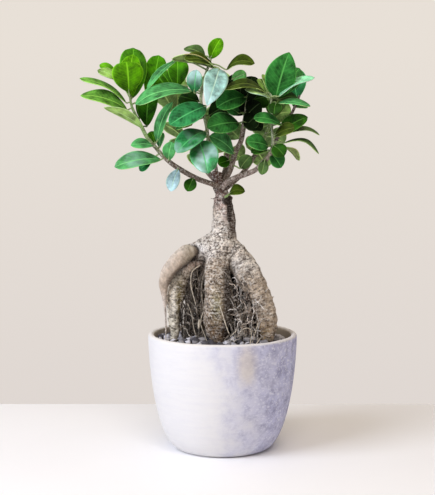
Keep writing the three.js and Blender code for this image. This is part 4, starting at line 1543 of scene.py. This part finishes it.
@dataclass
class Studio:
    """The pale table, the soft lights and the camera at the photograph's angle."""

    eye: tuple = (-4.4, -1000.0, 266.8)
    pitch_down: float = 5.22
    lens: float = 84.06
    table_back: float = 162.0
    table_half: float = 2.6
    wall_low: str = "#dfd7d2"
    wall_high: str = "#e8e0d7"
    wall_fade: tuple[float, float] = (-0.24, 0.08)
    fill: str = "#f3ebe3"
    fill_strength: float = 0.36
    aim: Triple = (0.0, 0.0, 0.2)
    # Name, place in metres, side in metres, power in watts and colour of each light.
    lights: tuple = (
        ("key_window", (-1.05, -0.75, 0.95), 0.85, 19.6, "#e8f0ff"),
        ("sky_window", (0.1, -0.95, 1.2), 0.7, 6.5, "#fff5e8"),
        ("ceiling", (0.15, 0.25, 1.5), 1.2, 5.0, "#ffe8cc"),
    )

    def build(self) -> None:
        """Sets up the table, the world, the lights and the camera."""
        self.add_table()
        self.add_world()
        for light in self.lights:
            self.add_light(*light)
        self.add_camera()
        bpy.context.scene.view_settings.view_transform = "Standard"

    def add_table(self) -> None:
        """Adds the table top, whose back edge closes the picture's lower part."""
        mesh = bmesh.new()
        made = bmesh.ops.create_grid(mesh, x_segments=8, y_segments=8, size=1.0)["verts"]
        half = self.table_half
        for vert in made:
            vert.co = Vector((vert.co.x * half, (self.table_back * MM - half) + vert.co.y * half, 0))
        data = bpy.data.meshes.new("table_top")
        mesh.to_mesh(data)
        mesh.free()
        table = bpy.data.objects.new("table_top", data)
        bpy.context.scene.collection.objects.link(table)
        data.materials.append(material_of(TABLE))

    def add_world(self) -> None:
        """Gives the camera a plain warm wall, and the object a weaker even light."""
        world = bpy.data.worlds.new("pale_room")
        bpy.context.scene.world = world
        world.use_nodes = True
        tree = world.node_tree
        tree.nodes.clear()
        direction = add_node(tree, "ShaderNodeTexCoord").outputs["Generated"]
        height = add_node(tree, "ShaderNodeSeparateXYZ", {0: direction}).outputs[2]
        low, high = self.wall_fade
        rise = add_node(tree, "ShaderNodeMapRange", {0: height, 1: low, 2: high}).outputs[0]
        colours = {0: rise, 6: linear(self.wall_low), 7: linear(self.wall_high)}
        wall = add_node(tree, "ShaderNodeMix", colours, data_type="RGBA").outputs[2]
        seen = add_node(tree, "ShaderNodeBackground", {"Color": wall, "Strength": 1.0})
        even = {"Color": linear(self.fill), "Strength": self.fill_strength}
        light = add_node(tree, "ShaderNodeBackground", even)
        to_camera = add_node(tree, "ShaderNodeLightPath").outputs[0]
        both = {0: to_camera, 1: light.outputs[0], 2: seen.outputs[0]}
        add_node(tree, "ShaderNodeOutputWorld", {0: add_node(tree, "ShaderNodeMixShader", both).outputs[0]})

    def add_light(self, name: str, place: Triple, size: float, watts: float, colour: str) -> None:
        """Adds a soft square light aimed at the plant.

        Args:
            name: Name of the light.
            place: Where it hangs, in metres.
            size: Its side, in metres.
            watts: Its power.
            colour: Its colour.
        """
        lamp = bpy.data.lights.new(name, "AREA")
        lamp.size = size
        lamp.energy = watts
        lamp.color = linear(colour)[:3]
        holder = bpy.data.objects.new(name, lamp)
        holder.location = place
        holder.rotation_euler = (Vector(self.aim) - Vector(place)).to_track_quat("-Z", "Y").to_euler()
        bpy.context.scene.collection.objects.link(holder)

    def add_camera(self) -> None:
        """Adds the camera."""
        lens = bpy.data.cameras.new("camera")
        lens.lens = self.lens
        lens.sensor_width = 36.0
        lens.clip_start = 0.01
        camera = bpy.data.objects.new("camera", lens)
        camera.location = Vector(self.eye) * MM
        camera.rotation_euler = (math.radians(90 - self.pitch_down), 0, 0)
        bpy.context.scene.collection.objects.link(camera)
        bpy.context.scene.camera = camera


# Each row of a limb is x, y, z and radius, in millimetres.
STEM = Limb([
    (-4.5, -1, 241.5, 3.2), (-4.6, -1, 240, 4.7), (-4, 0, 232, 4.9), (-3, 0, 226, 5), (0, 0, 219.5, 7.4),
    (0.4, 0, 210, 9.2), (1, 0, 200, 9.9), (1.2, 0, 190, 10.6), (0, 0, 181, 14), (-1, 2, 170, 16),
    (-2, 3, 158, 12),
])
SHOULDER = Limb([
    (-31, -3, 171, 4.5), (-25, -3, 172.5, 8.4), (-15, -2, 174, 11.5), (-4, 0, 175, 13.5), (6, 0, 172, 12),
])
# The overhanging lobe, the three thick roots in front and the three behind.
ROOTS = {
    "lobe": Limb([
        (-22.5, -9, 172.2, 3.8), (-25.5, -10, 172.8, 5.8), (-30, -11, 171.9, 7.2), (-34.5, -12.5, 168.6, 7.5),
        (-40, -13.5, 163.4, 7.4), (-46.5, -15, 155.5, 6.4), (-50.5, -15.5, 146, 4.5), (-50, -15, 135, 2.7),
        (-49.5, -14, 125, 1.7), (-49, -13, 112, 1.2), (-49, -13, 97, 1.1), (-48, -12, 86, 1.2),
    ]),
    "left": Limb([
        (-18, -1, 166, 7.5), (-30, -3, 159, 7.2), (-36.5, -5, 147, 7.9), (-40, -6, 136, 8.3),
        (-41.5, -7, 125, 6.9), (-42, -7, 113, 5.7), (-41.5, -7, 101, 3.9), (-41, -6, 88, 2.6),
        (-40, -6, 80, 1.8),
    ]),
    "middle": Limb([
        (0, -1, 190, 8.5), (-1.5, -3, 180, 10.5), (-4.3, -5.5, 169, 10.8), (-5, -8, 158, 10.7),
        (-3.7, -10, 144, 12.2), (-4, -12, 129, 12.4), (-4.8, -13, 116, 12), (-4.8, -13, 104, 9.9),
        (-3.8, -13, 94, 6.8), (-5, -12, 80, 4.6),
    ]),
    "right": Limb([
        (2, 0, 178, 11.5), (9, -1, 171, 11.6), (16.8, -3, 161.3, 11.6), (22.5, -5, 150.8, 11.5),
        (28.3, -7, 140.5, 11.2), (33.4, -8, 129.2, 10.6), (36.8, -9, 118, 9.8), (38.6, -9, 106, 8.5),
        (38.2, -9, 94, 5.6), (39, -8, 80, 4.6),
    ]),
    "back_left": Limb([
        (-6, 4, 172, 11), (-14, 10, 160, 10.5), (-20, 17, 145, 10), (-24, 22, 128, 9.2), (-26, 25, 110, 7.6),
        (-27, 26, 93, 5.6), (-27, 26, 80, 3.4),
    ]),
    "back_right": Limb([
        (6, 4, 170, 11), (12, 12, 157, 10.5), (17, 20, 142, 10.6), (20, 27, 126, 9.8), (22, 31, 109, 8.4),
        (22, 33, 93, 6.4), (22, 33, 80, 3.8),
    ]),
    "back_thin": Limb([
        (-2, 8, 168, 8.5), (-3, 20, 160, 7.2), (-4, 29, 148, 6.2), (-5, 34, 133, 5), (-5, 37, 115, 4),
        (-5, 38, 95, 3.2), (-5, 38, 82, 2),
    ]),
}
# The callus beside the scar, the stubs and snags of cut shoots, and a peg on the right root.
KNOTS = [
    Limb([(1.5, -6, 217, 1.6), (2, -8.6, 212, 2.9), (2.6, -8.8, 206, 3), (2, -7, 199, 1.6)]),
    Limb([(-4, -2, 217.6, 1.4), (-10, -3, 218.3, 1.1), (-11.5, -3, 218.5, 0.8)]),
    Limb([(2, -1, 216, 4.5), (6.5, -1, 218, 2.6), (8.2, -1, 220.5, 1.6)]),
    Limb([(-6, -1, 236, 2), (-10.5, -1, 238.5, 1.3)]),
    Limb([(-8, -3, 239.5, 1), (-9.3, -3.6, 241, 1.2)]),
    Limb([(-5.5, -4.8, 239.8, 1), (-6.2, -6, 241.8, 1.1)]),
    Limb([(-2, -4.4, 239.8, 0.9), (-1.2, -5.4, 241.6, 1.1)]),
    Limb([(-0.6, -1, 239.5, 1), (0.6, -1, 241, 1.1)]),
    Limb([(-7.8, 1.6, 239.5, 1), (-8.8, 2.6, 241.2, 1.1)]),
    Limb([(-2.5, 2.6, 239.8, 0.9), (-2, 3.8, 241.4, 1)]),
    Limb([(37, -9, 134, 1.2), (43.6, -8, 132.6, 0.9), (44.6, -8, 134.4, 0.7)]),
]
# The curtains of fine roots, by the parents that they hang from and the patch that they reach.
FIBRE_BEDS = [
    # Strings in the left gap, pale and close together.
    FibreBed(
        [ROOTS["left"], SHOULDER], (0.4, 3.2), (-34, -16), (-14, 0), 130,
        ("#a89a88", "#57493f", "#d8cdbf", "#3d3128", "#85776a", "#2a211a"),
        crook=3.2, radii=(0.22, 0.5), tangled=0.65, low=2.0, high=58.0,
    ),
    # Short crooked pale ends in the right gap.
    FibreBed(
        [ROOTS["middle"], ROOTS["right"]], (2.6, 4.8), (8, 31), (-20, -6), 230,
        ("#f8efe6", "#ecdccd", "#d3c2b2", "#fbf4ec", "#a08c7b", "#4a3a2f"),
        crook=2.2, radii=(0.26, 0.52), tangled=0.8, low=3.0, high=56.0,
    ),
    # The dark mass behind them: near-black fibres whose tints also carry painted shade deep in the cage.
    FibreBed(
        [ROOTS["back_left"], ROOTS["back_right"], ROOTS["back_thin"]], (0.4, 2.0), (-37, 34), (0, 24), 340,
        ("#1c140f", "#291e16", "#130d0a", "#382a1f"), crook=2.4, radii=(0.4, 0.9), tangled=0.1,
    ),
    # Thin brown strings that wander between the thick roots.
    FibreBed(
        [ROOTS["middle"], ROOTS["left"], ROOTS["right"]], (1.5, 4.5), (-33, 33), (-14, 16), 90,
        ("#76675a", "#5b4d42", "#93836f", "#a39380"), crook=2.4, radii=(0.15, 0.35), tangled=0.8,
        low=2.0, high=40.0,
    ),
]
# Where the roots enter the soil, which the stones leave free: x, y, height and radius.
FEET = [
    (-41, -6, 92, 3), (-49, -13, 92, 1.5), (-5.4, -13, 92, 8.5), (39.2, -9, 92, 7.5), (-27, 26, 92, 5.8),
    (22, 33, 92, 6.6), (-5, 38, 92, 3.3),
]
# Single fibres that can be told apart, in front of the thick roots and in the gaps.
LOOSE_FIBRES = [
    Limb([(-2.2, -24, 127, 0.5), (0.5, -27, 119, 0.55), (3, -30, 111, 0.5), (5.5, -32, 105, 0.45)]),
    Limb([(6.5, -32, 102.5, 0.45), (9, -31, 105, 0.4), (12.5, -30, 108, 0.35)]),
    Limb([(12.5, -30, 103, 0.35), (16, -30, 107.5, 0.4), (20, -30, 109.5, 0.4), (23.5, -29, 108.5, 0.35)]),
    Limb([(23.7, -29, 109, 0.45), (24.4, -31, 103, 0.45), (23.4, -33, 97, 0.4), (22.5, -34, 91.5, 0.4)]),
    Limb([(30.4, -22, 112.5, 0.4), (28, -27, 106, 0.4), (25.5, -31, 99, 0.4), (23.4, -34, 92, 0.35)]),
    Limb([(33, -26, 101, 0.4), (30, -30, 98, 0.4), (27.5, -33, 95, 0.35), (25.2, -35, 91.5, 0.3)]),
    Limb([
        (-19.5, -10, 161, 0.5), (-26, -13, 156, 0.5), (-27.4, -14, 147.5, 0.5), (-26.5, -14.5, 140, 0.45),
        (-23, -15, 127, 0.35), (-22, -15, 119, 0.25),
    ]),
    Limb([(-20.2, -14, 114.5, 0.8), (-20.4, -14.5, 110.5, 1.3), (-20.6, -15, 106.5, 0.8)]),
    Limb([(-30, -12, 128, 0.3), (-26.5, -14, 118, 0.35), (-25, -15, 108, 0.35), (-22, -16, 97, 0.3)]),
    Limb([(-16.5, -16, 122, 0.3), (-19, -17, 112, 0.35), (-16, -18, 103, 0.35), (-12, -22, 93, 0.3)]),
    Limb([
        (8, -8, 128, 0.4), (12, -15, 120, 0.4), (16, -17, 112, 0.4), (20, -19, 100, 0.4),
        (21, -20, 92, 0.4),
    ]),
]
# The tones' short name, for the rows below.
T = Tone
# Each leaf's row is the base and the tip of its blade, its width, its roll in degrees and its tone.
LEAFY_STEMS = [
    LeafyStem(
        "left_branch",
        Limb([
            (-2, -2, 228, 2.8), (-10, -5, 231, 2.4), (-23, -9, 236, 2.2), (-40, -12, 246, 2),
            (-50, -13, 254, 1.8), (-57, -12, 262, 1.7), (-64, -10, 270, 1.6), (-70, -8, 281, 1.5),
            (-75, -6, 291, 1.3), (-78, -5, 298, 1.1), (-79, -5, 304, 0.9),
        ]),
        [
            Leaf(
                -80, -6, 309, -81.5, -12, 334.5, 27, 5, T.BRIGHT, peak=0.64, point=0.42, fold=0.08, gloss=0.4
            ),
            Leaf(-78, 2, 304, -77.5, 12, 348, 24, -10, T.SPRING, peak=0.6, point=0.45),
            Leaf(-78, -2, 304, -77, -5, 341, 19, 0, T.BRIGHT, peak=0.62, curl=0.1, gloss=0.3),
            Leaf(-92, 3, 327, -106, 5, 333, 8, 30, T.BRIGHT),
            Leaf(-90, 0, 320, -107, -2, 328, 10, 40, T.LIME, gloss=0.2),
            Leaf(-82, -5, 300, -121.5, -8, 321, 18, 74, T.FERN),
            Leaf(-81, -9, 294, -120, -17, 306, 20, 55, T.FERN),
            Leaf(-67, -12, 278, -100, -20, 296, 13, 128, T.LIME, gloss=0.3),
            Leaf(-65, -2, 280, -62, 6, 312, 18, 10, T.DARK, peak=0.6, point=0.5, gloss=0.15),
            Leaf(-71, 0, 287, -69, 6, 305, 12, -10, T.DARK),
            Leaf(-63, 6, 302, -55.5, 16, 342, 19, 0, T.SPRING, peak=0.6, point=0.45, gloss=0.3),
            Leaf(-56, -10, 267, -43, -4, 301, 16, 50, T.MINT),
            Leaf(-46, -14, 251, -43, -18, 267, 12, 20, T.MINT),
            Leaf(-54, -6, 262, -52, -2, 275, 9, 40, T.MINT),
            Leaf(-58, -4, 265, -62, 0, 276, 10, 10, T.SPRING),
            Leaf(-58, -12, 264, -78, -16, 264, 13, 50, T.MINT),
            Leaf(-52, -15, 252, -91, -26, 246, 20, 50, T.MINT, gloss=0.75),
            Leaf(-61, -12, 250, -71, -12, 242.5, 9, 30, T.TEAL),
            Leaf(-38, -14, 244, -44, -20, 225, 12, 20, T.PAINTED_SKY_SHEEN, gloss=0.65),
            Leaf(-25, -11, 236, -30, -17, 225, 11, 10, T.DARK),
        ],
        green_from=0.5,
    ),
    LeafyStem(
        "centre_left_stem",
        Limb([
            (-5, -2, 238, 1.8), (-6, -4, 246, 1.6), (-8, -6, 255, 1.6), (-12, -9, 268, 1.5),
            (-14, -11, 281, 1.5), (-18, -13, 298, 1.4), (-18, -13, 308, 1.3), (-15, -11, 322, 1.2),
            (-10, -8, 337, 1),
        ]),
        [
            Leaf(-26, -16, 310, -73, -30, 300, 24, 55, T.MINT, curl=0.04),
            Leaf(-39, -8, 336, -64, -18, 311, 9, 50, T.MINT),
            Leaf(-39, -2, 314, -39, 6, 338, 18, 0, T.SPRING, peak=0.6, point=0.45, gloss=0.4),
            Leaf(-44, -1, 314, -53, 1, 327, 11, 20, T.SPRING),
            Leaf(-10.5, -8, 337, -1.5, -12, 354, 13, 15, T.BRIGHT, gloss=0.3),
            Leaf(-15, -4, 340, -33, 2, 347, 14, 50, T.GREY, gloss=0.4),
            Leaf(-8, -12, 332, -32, -22, 336, 18, 58, T.OLIVE, gloss=0.2),
            Leaf(-5, -14, 328, -43, -14, 337, 16, 112, T.BROWN, gloss=0.3),
            Leaf(3, -8, 328, 27, -14, 333, 20, 60, T.OLIVE, bow=0.2, gloss=0.15),
            Leaf(-3, -15, 328.5, -13, -36, 297, 20, 0, T.PAINTED_GLEAM, peak=0.4, point=0.8, fold=0.3, gloss=1.0),
            Leaf(-24, -17, 308, -22, -22, 327, 14, 20, T.TEAL, gloss=0.9),
            Leaf(-14, -17, 297, -44, -38, 281, 23, 30, T.TEAL),
            Leaf(-15, -14, 276, -38, -42, 258, 21, 35, T.TEAL, gloss=0.8),
            Leaf(-17, -14, 287, -39, -26, 277, 14, 65, T.DEEP),
            Leaf(-20, -18, 268, -12, -44, 241, 24, 0, T.TEAL, gloss=1.0),
            Leaf(-12, -7, 289, 4, -2, 299, 18, 10, T.DARK),
            Leaf(-20, -9, 301, -37, 0, 306, 16, 20, T.DARK),
        ],
        wood="#5a4a3e",
        green="#a9b88a",
        green_from=0.35,
    ),
    LeafyStem(
        "centre_right_branch",
        Limb([
            (0, 2, 230, 3), (3, 3, 236, 2.8), (6.5, 4, 243, 2.6), (9, 4, 251, 2.5), (12, 3, 260, 2.4),
            (16, 2, 268, 2.3), (18, 1, 279, 2.1), (20, 0, 292, 1.7), (21, -1, 306, 1.3), (20, -2, 318, 1),
        ]),
        [
            Leaf(14, -6, 283, -13, -26, 279, 20, 25, T.DEEP),
            Leaf(10, -2, 257, -11, -14, 272, 17, 40, T.MINT),
            Leaf(20, -8, 305, -5, -20, 296, 20, 30, T.DEEP, gloss=0.2),
            Leaf(14, -8, 291, 3, -16, 297, 11, 20, T.DEEP),
            Leaf(6, 0, 251, -4, -6, 248, 11, 20, T.DARK, gloss=0.1),
            Leaf(15, -2, 244, 24, -6, 255, 12, 10, T.GREY),
            Leaf(8, -6, 320, 20, -8, 325, 10, 0, T.SPROUT, point=0.45, gloss=0.3),
            Leaf(18, -3, 284, 33, -10, 278, 15, 35, T.SHADE, gloss=0.05),
            Leaf(21, 4, 300, 38, 20, 306, 20, 20, T.DARK, gloss=0.1),
            Leaf(19, 5, 288, 36, 16, 283, 20, 30, T.SHADE, gloss=0.05),
            Leaf(20, 4, 312, 10, 26, 322, 20, 0, T.DARK, gloss=0.1),
            Leaf(21, -4, 290, 32, -8, 300, 17, 15, T.SHADE, gloss=0.05),
            Leaf(20, -3, 300, 25, -9, 322, 16, 0, T.SHADE, gloss=0.05),
            Leaf(18, 3, 290, 2, 8, 304, 20, 15, T.SHADE, gloss=0.05),
            Leaf(20, 7, 304, 29, 13, 323, 18, 0, T.SHADE, gloss=0.05),
            Leaf(18, 2, 309, 4, 6, 322, 18, 10, T.SHADE, gloss=0.05),
            Leaf(19, -3, 279, 30, -8, 290, 17, 30, T.SHADE, gloss=0.05),
        ],
        wood="#7c6a5e",
        green_from=0.85,
    ),
    LeafyStem(
        "right_branch",
        Limb([
            (-1, -2, 227, 2.8), (5, -3, 233, 2.6), (11, -5, 236, 2.4), (19, -8, 239, 2.3),
            (28, -10, 243, 2.2), (34, -11, 249, 2.1), (39, -12, 254, 2), (42, -12, 260, 1.8),
            (43, -12, 267, 1.4), (42, -12, 277, 1.1), (41.5, -12, 292, 1), (41, -12, 303, 1),
            (41, -12, 308, 0.9),
        ]),
        [
            Leaf(39, -15, 263, 20, -26, 267, 16, 35, T.DEEP),
            Leaf(38, -14, 260, 24, -20, 258, 13, 60, T.DARK),
            Leaf(43, -15, 264, 52, -21, 255, 14, 20, T.DARK),
            Leaf(41, -12, 257, 50, -14, 245, 14, 20, T.DEEP),
            Leaf(36, -14, 252, 33, -17, 239, 9, 10, T.GREY),
            Leaf(52, -12, 266, 82, -14, 257, 15, 75, T.GREY, bow=0.2),
            Leaf(53, -8, 263, 66, -6, 251, 12, 110, T.BROWN, gloss=0.3),
            Leaf(57, -6, 275, 83, -6, 273, 14, 72, T.GREY, bow=0.16),
            Leaf(44, -14, 272, 61, -20, 279, 17, 55, T.OLIVE),
            Leaf(47, -10, 272, 72, -14, 288, 20, 50, T.DARK),
            Leaf(50, -18, 281, 26, -24, 287, 18, 60, T.DEEP),
            Leaf(45, -12, 304, 56, -16, 342, 26, 5, T.DEEP, gloss=0.3, peak=0.46, point=0.8, fold=0.2),
            Leaf(48, -6, 306, 66, 2, 330, 18, 10, T.DEEP),
            Leaf(47, -16, 305, 77, -20, 321, 14, 66, T.FROST),
            Leaf(46, -15, 299, 74, -19, 297, 14, 68, T.MINT),
            Leaf(48, -4, 303, 64, 6, 306, 14, 40, T.DARK),
            Leaf(45, -16, 300, 43, -24, 290, 12, 10, T.DARK),
            Leaf(40, -15, 304, 19, -20, 311, 14, 62, T.PALE),
            Leaf(37, -13, 308, 2, -24, 311, 14, 60, T.OLIVE, bow=0.2),
            Leaf(39, -7, 306, 31, 0, 321, 12, 30, T.LIME),
            Leaf(40, -8, 307, 35, 4, 325, 10, 40, T.LIME),
        ],
        wood="#96837a",
        green="#b5c49a",
        green_from=0.62,
    ),
    LeafyStem(
        "right_back_twig",
        Limb([
            (39, -10, 254, 1.8), (46, 0, 268, 1.6), (57, 9, 287, 1.4), (61, 12, 293, 1.2),
            (67, 14, 307, 1),
        ]),
        [
            Leaf(62, 13, 297, 70, 24, 302, 18, 30, T.DEEP),
            Leaf(65, 15, 304, 60, 26, 332, 22, 0, T.TEAL),
        ],
        wood="#5d4a40",
        green_from=1.3,
    ),
    LeafyStem(
        "back_left_branch",
        Limb([
            (-4, 2, 231, 2.4), (-16, 14, 244, 2.2), (-28, 24, 262, 2), (-38, 30, 280, 1.7),
            (-44, 33, 300, 1.2),
        ]),
        [
            Leaf(-26, 27, 258, -18, 50, 244, 20, 20, T.DEEP),
            Leaf(-34, 31, 272, -38, 56, 258, 22, 25, T.TEAL),
            Leaf(-34, 26, 270, -52, 24, 283, 18, 45, T.DEEP),
            Leaf(-41, 34, 290, -28, 58, 282, 22, 20, T.DEEP),
            Leaf(-44, 34, 298, -57, 50, 306, 22, 45, T.MID),
            Leaf(-45, 34, 302, -41, 46, 334, 24, 10, T.MID),
            Leaf(-44, 36, 301, -32, 58, 320, 22, 35, T.MINT),
            Leaf(-43, 31, 294, -54, 12, 312, 20, 20, T.DEEP),
        ],
    ),
    LeafyStem(
        "back_centre_branch",
        Limb([
            (-2, 2, 234, 2.3), (2, 10, 242, 2.2), (4, 20, 256, 2), (4, 30, 274, 1.8), (2, 37, 292, 1.5),
            (0, 40, 308, 1.1),
        ]),
        [
            Leaf(4, 24, 260, 18, 44, 252, 20, 30, T.DEEP),
            Leaf(4, 28, 268, -12, 50, 258, 22, 25, T.DEEP),
            Leaf(4, 33, 280, 16, 58, 270, 22, 20, T.TEAL),
            Leaf(2, 36, 290, -14, 60, 284, 22, 30, T.DEEP),
            Leaf(1, 38, 298, 20, 54, 304, 24, 40, T.MID),
            Leaf(0, 40, 306, -6, 52, 331, 24, 10, T.MID),
            Leaf(0, 41, 307, 8, 68, 312, 22, 50, T.TEAL),
            Leaf(-2, 36, 303, -14, 16, 326, 22, 20, T.DEEP),
            Leaf(4, 35, 292, 14, 20, 308, 20, 30, T.DARK),
        ],
    ),
    LeafyStem(
        "back_right_branch",
        Limb([
            (2, 3, 226, 2.4), (16, 14, 238, 2.2), (28, 25, 254, 2), (38, 32, 272, 1.7), (46, 36, 294, 1.2),
        ]),
        [
            Leaf(31, 28, 258, 40, 48, 244, 20, 20, T.DEEP),
            Leaf(38, 33, 272, 56, 46, 266, 22, 30, T.TEAL),
            Leaf(42, 35, 282, 28, 56, 276, 22, 20, T.DEEP),
            Leaf(45, 36, 290, 62, 52, 294, 22, 40, T.MID),
            Leaf(46, 37, 294, 50, 48, 326, 24, 10, T.DEEP),
            Leaf(34, 29, 264, 22, 46, 262, 20, 30, T.MID),
            Leaf(45, 33, 288, 50, 14, 306, 20, 20, T.DARK),
        ],
    ),
    LeafyStem(
        "stem_sprout",
        Limb([(1, -6, 219, 1.2), (3.5, -9, 220.5, 1.1), (5, -10, 222, 0.8)]),
        [Leaf(5, -10, 222, 19, -16, 225, 12, 50, T.OLIVE, bow=0.25, gloss=0.1)],
        green_from=0.3,
    ),
]


def main() -> None:
    """Loads the frame, and builds every piece and the studio."""
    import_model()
    Studio().build()
    Pot().build()
    bed = Bed(FEET)
    bed.build_soil()
    bed.build_stones()
    Trunk({"stem": STEM, "shoulder": SHOULDER, **ROOTS}, KNOTS).build()
    FineRoots(FIBRE_BEDS, LOOSE_FIBRES, bed).build()
    for leafy in LEAFY_STEMS:
        leafy.build()


if __name__ == "__main__":
    logging.basicConfig(level=logging.INFO, format="%(message)s")
    main()
